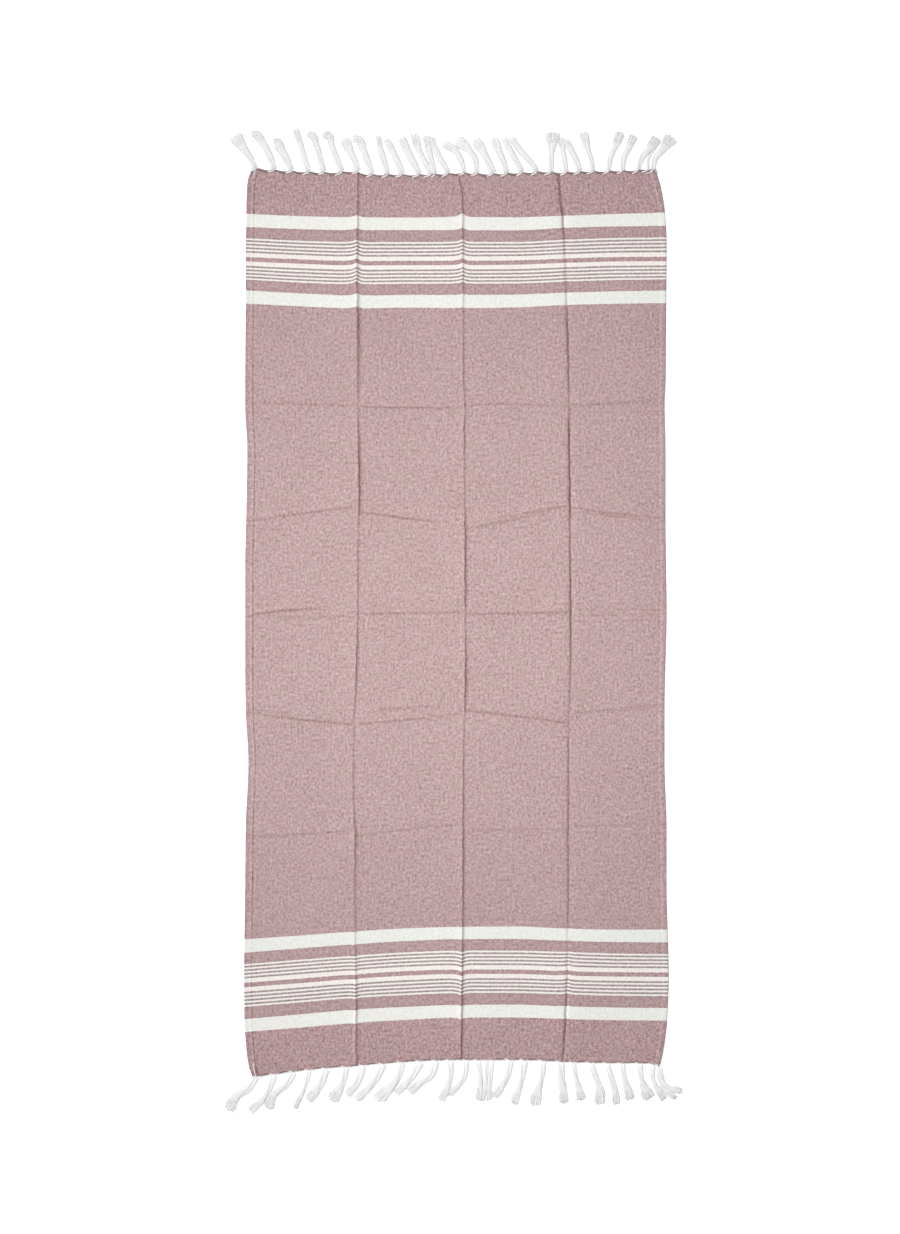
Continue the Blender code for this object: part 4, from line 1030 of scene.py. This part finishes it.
def cloth_material():
    n = Nodes("woven_cotton")
    u, v, _ = n.attribute("flat")
    shade, notch_shade, _ = n.attribute("painted_shade")
    u = n.math("MULTIPLY", u, 1000.0)
    v = n.math("MULTIPLY", v, 1000.0)
    # how far from the nearer end, and from the middle of that end's stripes
    end = n.math("MINIMUM", v, n.math("SUBTRACT", FLAT_LONG, v))
    fray = n.noise(n.vector(n.math("MULTIPLY", u, 0.16), n.math("MULTIPLY", v, 0.9)), 1.0, 1.0)
    off = n.math("ABSOLUTE", n.math("SUBTRACT", end, 168.3))
    off = n.math("ADD", off, n.math("MULTIPLY", n.math("SUBTRACT", fray, 0.5), 1.1))
    edges = [4.2, 12.4]
    for k in range(4):
        edges += [12.4 + 6.9 * k + 3.45, 12.4 + 6.9 * (k + 1)]
    edges += [62.2, 86.6]
    stops = [(0.0, (0, 0, 0))]
    for k, at in enumerate(edges):
        before, after = ((0, 0, 0), (1, 1, 1)) if k % 2 == 0 else ((1, 1, 1), (0, 0, 0))
        stops += [((at - 0.35) / 100, before), ((at + 0.35) / 100, after)]
    white = n.ramp(n.math("DIVIDE", off, 100.0), stops)

    # yarn: fine irregular noise with short runs along the weft and the warp
    fine = n.noise(n.vector(n.math("MULTIPLY", u, 0.225), n.math("MULTIPLY", v, 0.185)), 1.0, 1.0, 0.5)
    weft = n.noise(n.vector(n.math("MULTIPLY", u, 0.05), n.math("MULTIPLY", v, 0.75), 7.0), 1.0, 1.0)
    warp = n.noise(n.vector(n.math("MULTIPLY", u, 0.75), n.math("MULTIPLY", v, 0.045), 3.0), 1.0, 1.0)
    streak = n.noise(n.vector(n.math("MULTIPLY", u, 0.30), n.math("MULTIPLY", v, 0.035), 11.0), 1.0, 1.0)
    tint = n.noise(n.vector(n.math("MULTIPLY", u, 0.030), n.math("MULTIPLY", v, 0.034), 13.0), 1.0, 2.0)
    broad = n.noise(n.vector(n.math("MULTIPLY", u, 0.012), n.math("MULTIPLY", v, 0.009), 5.0), 1.0, 2.0)
    # plain weave, warp over weft and weft over warp
    over = n.math("MULTIPLY", n.math("SINE", n.math("MULTIPLY", u, math.pi / 0.86)), n.math("SINE", n.math("MULTIPLY", v, math.pi / 0.80)))
    melange = n.math("ADD", n.math("MULTIPLY", n.math("SUBTRACT", fine, 0.5), 0.98), 1.0)
    melange = n.math("ADD", melange, n.math("MULTIPLY", n.math("SUBTRACT", weft, 0.5), 0.34))
    melange = n.math("ADD", melange, n.math("MULTIPLY", n.math("SUBTRACT", warp, 0.5), 0.34))
    melange = n.math("ADD", melange, n.math("MULTIPLY", n.math("SUBTRACT", broad, 0.5), 0.10))
    melange = n.math("ADD", melange, n.math("MULTIPLY", n.math("SUBTRACT", streak, 0.5), 0.20))
    melange = n.math("ADD", melange, n.math("MULTIPLY", over, 0.08))

    among = n.math("LESS_THAN", off, 62.2)
    ends = n.math("LESS_THAN", end, 82.0)
    rose = n.mix(among, ROSE, ROSE_STRIPES)
    hairs = n.math("MULTIPLY", n.math("LESS_THAN", off, 41.0), n.math("GREATER_THAN", off, 8.0))
    rose = n.mix(hairs, rose, ROSE_LINES)
    rose = n.mix(ends, rose, ROSE_ENDS)
    lines = n.math("LESS_THAN", off, 45.0)
    # the white is paler in the bands by the fringes than by the body: painted light against the lamp's falloff
    outer = n.math("LESS_THAN", end, 168.3)
    pale = n.mix(lines, n.mix(outer, WHITE_IN_PAINTED_SHADE, WHITE_OUT_PAINTED_LIGHT), LINE_WHITE)
    # the selvedges: a line of doubled warp inside each side, and a firmer edge
    right = n.math("SUBTRACT", FLAT_ACROSS[-1], u)
    selvedge_left = n.ramp(n.math("DIVIDE", u, 40.0), [
        (0.0, (0.40,) * 3), (0.08, (0.42,) * 3), (0.16, (0.47,) * 3), (0.22, (0.54,) * 3), (0.29, (0.58,) * 3),
        (0.33, (0.52,) * 3), (0.353, (0.22,) * 3), (0.388, (0.22,) * 3), (0.415, (0.50,) * 3), (0.455, (0.54,) * 3), (0.52, (0.5,) * 3)])
    selvedge_right = n.ramp(n.math("DIVIDE", right, 40.0), [
        (0.0, (0.37,) * 3), (0.07, (0.39,) * 3), (0.14, (0.45,) * 3), (0.20, (0.55,) * 3), (0.225, (0.61,) * 3), (0.265, (0.61,) * 3),
        (0.29, (0.51,) * 3), (0.32, (0.44,) * 3), (0.36, (0.44,) * 3), (0.41, (0.485,) * 3), (1.0, (0.485,) * 3)])
    patchy = n.math("ADD", 0.45, n.math("MULTIPLY", n.noise(n.vector(3.0, n.math("MULTIPLY", v, 0.017), 2.0), 1.0, 2.0), 1.1))
    tone = n.math("MULTIPLY", n.math("SUBTRACT", selvedge_left, 0.5), patchy)
    tone = n.math("ADD", tone, n.math("SUBTRACT", selvedge_right, 0.5))
    # between a band and the hairlines the rose is paler midway
    midway = n.ramp(n.math("DIVIDE", off, 100.0), [(0.41, (0.48,) * 3), (0.47, (0.52,) * 3), (0.53, (0.54,) * 3), (0.58, (0.51,) * 3), (0.62, (0.475,) * 3), (0.63, (0.5,) * 3)])
    tone = n.math("ADD", tone, n.math("MULTIPLY", n.math("SUBTRACT", midway, 0.5), n.math("GREATER_THAN", off, 41.0)))
    # painted shade: the panel by the right side is made a little darker towards it, away from the light
    painted_falloff_right = n.ramp(n.math("DIVIDE", right, 200.0), [(0.0, (0.016,) * 3), (0.55, (0.0,) * 3)], "EASE")
    tone = n.math("SUBTRACT", tone, painted_falloff_right)
    colour = n.mix(white, rose, pale)
    # white warp shows in the rose, and little noise shows in the white
    strength = n.math("SUBTRACT", n.math("ADD", 1.0, n.math("MULTIPLY", ends, 0.22)), n.math("MULTIPLY", white, 0.72))
    level = n.math("ADD", n.math("MULTIPLY", n.math("SUBTRACT", melange, 1.0), strength), 1.0)
    level = n.math("ADD", level, n.math("MULTIPLY", tone, strength))
    # painted shade along the creases, and painted highlight beside them
    level = n.math("MULTIPLY", level, n.math("SUBTRACT", 1.0, n.math("MULTIPLY", shade, 0.42)))
    # painted shade in the notches of the woven ends, between the cords
    level = n.math("MULTIPLY", level, n.math("SUBTRACT", 1.0, n.math("MULTIPLY", notch_shade, 0.50)))
    # what is darker is also redder, because rose yarn lights rose yarn
    deeper = n.math("POWER", level, 1.22)
    # light that is caught between two sides of a crease comes back redder
    caught = n.math("MULTIPLY", n.math("MAXIMUM", shade, 0.0), n.math("SUBTRACT", 0.135, n.math("MULTIPLY", white, 0.08)))
    deeper = n.math("MULTIPLY", deeper, n.math("SUBTRACT", 1.0, caught))
    colour = n.mix(1.0, colour, n.vector(level, deeper, deeper), "MULTIPLY")
    # uneven dye, some of it browner and some pinker
    uneven = n.math("MULTIPLY", n.math("SUBTRACT", tint, 0.5), n.math("MULTIPLY", strength, 0.16))
    colour = n.mix(1.0, colour, n.vector(n.math("ADD", 1.0, n.math("MULTIPLY", uneven, 0.35)), n.math("SUBTRACT", 1.0, n.math("MULTIPLY", uneven, 0.65)), n.math("SUBTRACT", 1.0, n.math("MULTIPLY", uneven, 0.25))), "MULTIPLY")
    # painted shade: the right rim, the side away from the light, is greyed
    rim = n.ramp(n.math("DIVIDE", right, 40.0), [(0.0, (0.5,) * 3), (0.10, (0.0,) * 3)])
    colour = n.mix(n.math("MULTIPLY", rim, strength), colour, (0.42, 0.34, 0.345))
    n.put(n.shader.inputs["Base Color"], colour)
    crepe = n.noise(n.vector(n.math("MULTIPLY", u, 0.07), n.math("MULTIPLY", v, 0.07), 9.0), 1.0, 3.0, 0.55)
    height = n.math("ADD", n.math("MULTIPLY", over, 0.10), n.math("MULTIPLY", fine, 0.30))
    height = n.math("ADD", height, n.math("MULTIPLY", weft, 0.12))
    height = n.math("ADD", height, n.math("MULTIPLY", crepe, 0.9))
    n.bump(height, 0.001, 0.55)
    n.shader.inputs["Roughness"].default_value = 0.92
    n.shader.inputs["Specular IOR Level"].default_value = 0.2
    n.shader.inputs["Sheen Weight"].default_value = 0.08
    n.shader.inputs["Sheen Roughness"].default_value = 0.6
    return n.material


def cord_material():
    n = Nodes("cotton_cord")
    along, around, kind = n.attribute("lay")
    darker, opened, _ = n.attribute("tone")
    yarns = n.math("SINE", n.math("ADD", n.math("MULTIPLY", around, 2 * math.pi * 9), n.math("MULTIPLY", along, 0.9)))
    fluff = n.noise(n.vector(n.math("MULTIPLY", along, 0.45), n.math("MULTIPLY", around, 7.0), kind), 1.0, 3.0, 0.6)
    patch = n.noise(n.vector(n.math("MULTIPLY", along, 0.12), n.math("MULTIPLY", around, 1.6), kind), 1.0, 1.0)
    # each loose end has its own tone
    loose = n.math("MULTIPLY", n.math("GREATER_THAN", kind, 0.9), n.math("LESS_THAN", kind, 1.95))
    own = n.math("MULTIPLY", n.math("FRACT", kind), 0.065)
    level = n.math("ADD", 0.955, n.math("MULTIPLY", n.math("SUBTRACT", fluff, 0.5), 0.17))
    level = n.math("ADD", level, n.math("MULTIPLY", n.math("SUBTRACT", patch, 0.5), 0.10))
    level = n.math("ADD", level, n.math("MULTIPLY", yarns, 0.012))
    level = n.math("SUBTRACT", level, n.math("MULTIPLY", own, loose))
    # darker holds the shade painted along the cords' sides and grooves and the greying of bodies and heads, with each
    # loose end's own tone
    level = n.math("SUBTRACT", level, darker)
    level = n.math("SUBTRACT", level, n.math("MULTIPLY", opened, n.math("MULTIPLY", n.math("SUBTRACT", patch, 0.5), 0.16)))
    colour = n.mix(1.0, (0.935, 0.94, 0.93), n.vector(level, level, level), "MULTIPLY")
    # kind 3 is rose yarn, darker than the cloth's rose: partly its own colour, partly painted shadow
    dark = n.math("GREATER_THAN", kind, 2.5)
    colour = n.mix(dark, colour, n.mix(fluff, (0.235, 0.168, 0.163), (0.34, 0.25, 0.24)))
    n.put(n.shader.inputs["Base Color"], colour)
    height = n.math("ADD", n.math("MULTIPLY", yarns, 0.12), n.math("MULTIPLY", fluff, 0.30))
    n.bump(height, 0.001, 0.5)
    n.shader.inputs["Roughness"].default_value = 0.95
    n.shader.inputs["Specular IOR Level"].default_value = 0.15
    n.shader.inputs["Sheen Weight"].default_value = 0.1
    n.shader.inputs["Sheen Roughness"].default_value = 0.5
    return n.material


# --------------------------------------------------------------- the surroundings
def make_floor():
    mesh = bpy.data.meshes.new("floor")
    s, z = 9.0, -0.0004
    mesh.from_pydata([(-s, -s, z), (s, -s, z), (s, s, z), (-s, s, z)], [], [(0, 1, 2, 3)])
    floor = bpy.data.objects.new("floor", mesh)
    bpy.context.scene.collection.objects.link(floor)
    n = Nodes("floor_white")
    n.shader.inputs["Base Color"].default_value = (0.84, 0.84, 0.84, 1.0)
    n.shader.inputs["Roughness"].default_value = 0.9
    n.shader.inputs["Specular IOR Level"].default_value = 0.0
    n.shader.inputs["Emission Color"].default_value = (1.0, 1.0, 1.0, 1.0)
    n.shader.inputs["Emission Strength"].default_value = 0.45
    mesh.materials.append(n.material)


def aim(thing, where, at):
    from mathutils import Vector

    thing.location = where
    thing.rotation_euler = (Vector(at) - Vector(where)).to_track_quat("-Z", "Y").to_euler()


def make_lights():
    world = bpy.data.worlds.new("studio")
    bpy.context.scene.world = world
    world.use_nodes = True
    background = world.node_tree.nodes["Background"]
    background.inputs["Color"].default_value = (0.99, 1.0, 1.0, 1.0)
    background.inputs["Strength"].default_value = 0.36
    sun = bpy.data.lights.new("window", "SUN")
    sun.energy = 2.2
    sun.angle = math.radians(20)
    thing = bpy.data.objects.new("window", sun)
    bpy.context.scene.collection.objects.link(thing)
    side, up = math.radians(33), math.radians(30)
    aim(thing, (-math.cos(side) * math.cos(up), math.sin(side) * math.cos(up), math.sin(up)), (0, 0, 0))
    box = bpy.data.lights.new("overhead", "AREA")
    box.shape = "DISK"
    box.size = 0.7
    box.energy = 13.2
    thing = bpy.data.objects.new("overhead", box)
    bpy.context.scene.collection.objects.link(thing)
    aim(thing, (-0.10, 0.05, 1.37), (-0.10, 0.05, 0.0))
    thing.visible_camera = False


def make_camera():
    camera = bpy.data.cameras.new("camera")
    camera.sensor_width = 36.0
    camera.lens = 36.0 * VIEW_HEIGHT / (VIEW_TALL * UNIT)
    camera.clip_end = 50
    thing = bpy.data.objects.new("camera", camera)
    thing.location = (VIEW_X * MM, VIEW_Y * MM, VIEW_HEIGHT * MM)
    bpy.context.scene.collection.objects.link(thing)
    bpy.context.scene.camera = thing


def main():
    bpy.context.scene.view_settings.view_transform = "Standard"
    make_camera()
    make_lights()
    make_floor()
    cloth = make_cloth()
    cloth.data.materials.append(cloth_material())
    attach(cloth, "root")
    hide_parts("towel_cloth")
    cords = cord_material()
    for name, node, table, top in (
        ("fringe_cords_top", "fringe_top", TOP_CORDS, True),
        ("fringe_cords_bottom", "fringe_bottom", BOTTOM_CORDS, False),
    ):
        fringe = make_fringe(name, table, top)
        fringe.data.materials.append(cords)
        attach(fringe, "root")
        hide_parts(node)
    for piece in bpy.data.objects:
        if piece.type == "MESH" and piece.name.startswith(("cloth", "fringe_cords")):
            print(piece.name, "triangles", sum(len(p.vertices) - 2 for p in piece.data.polygons))


main()
bpy.context.view_layer.update()
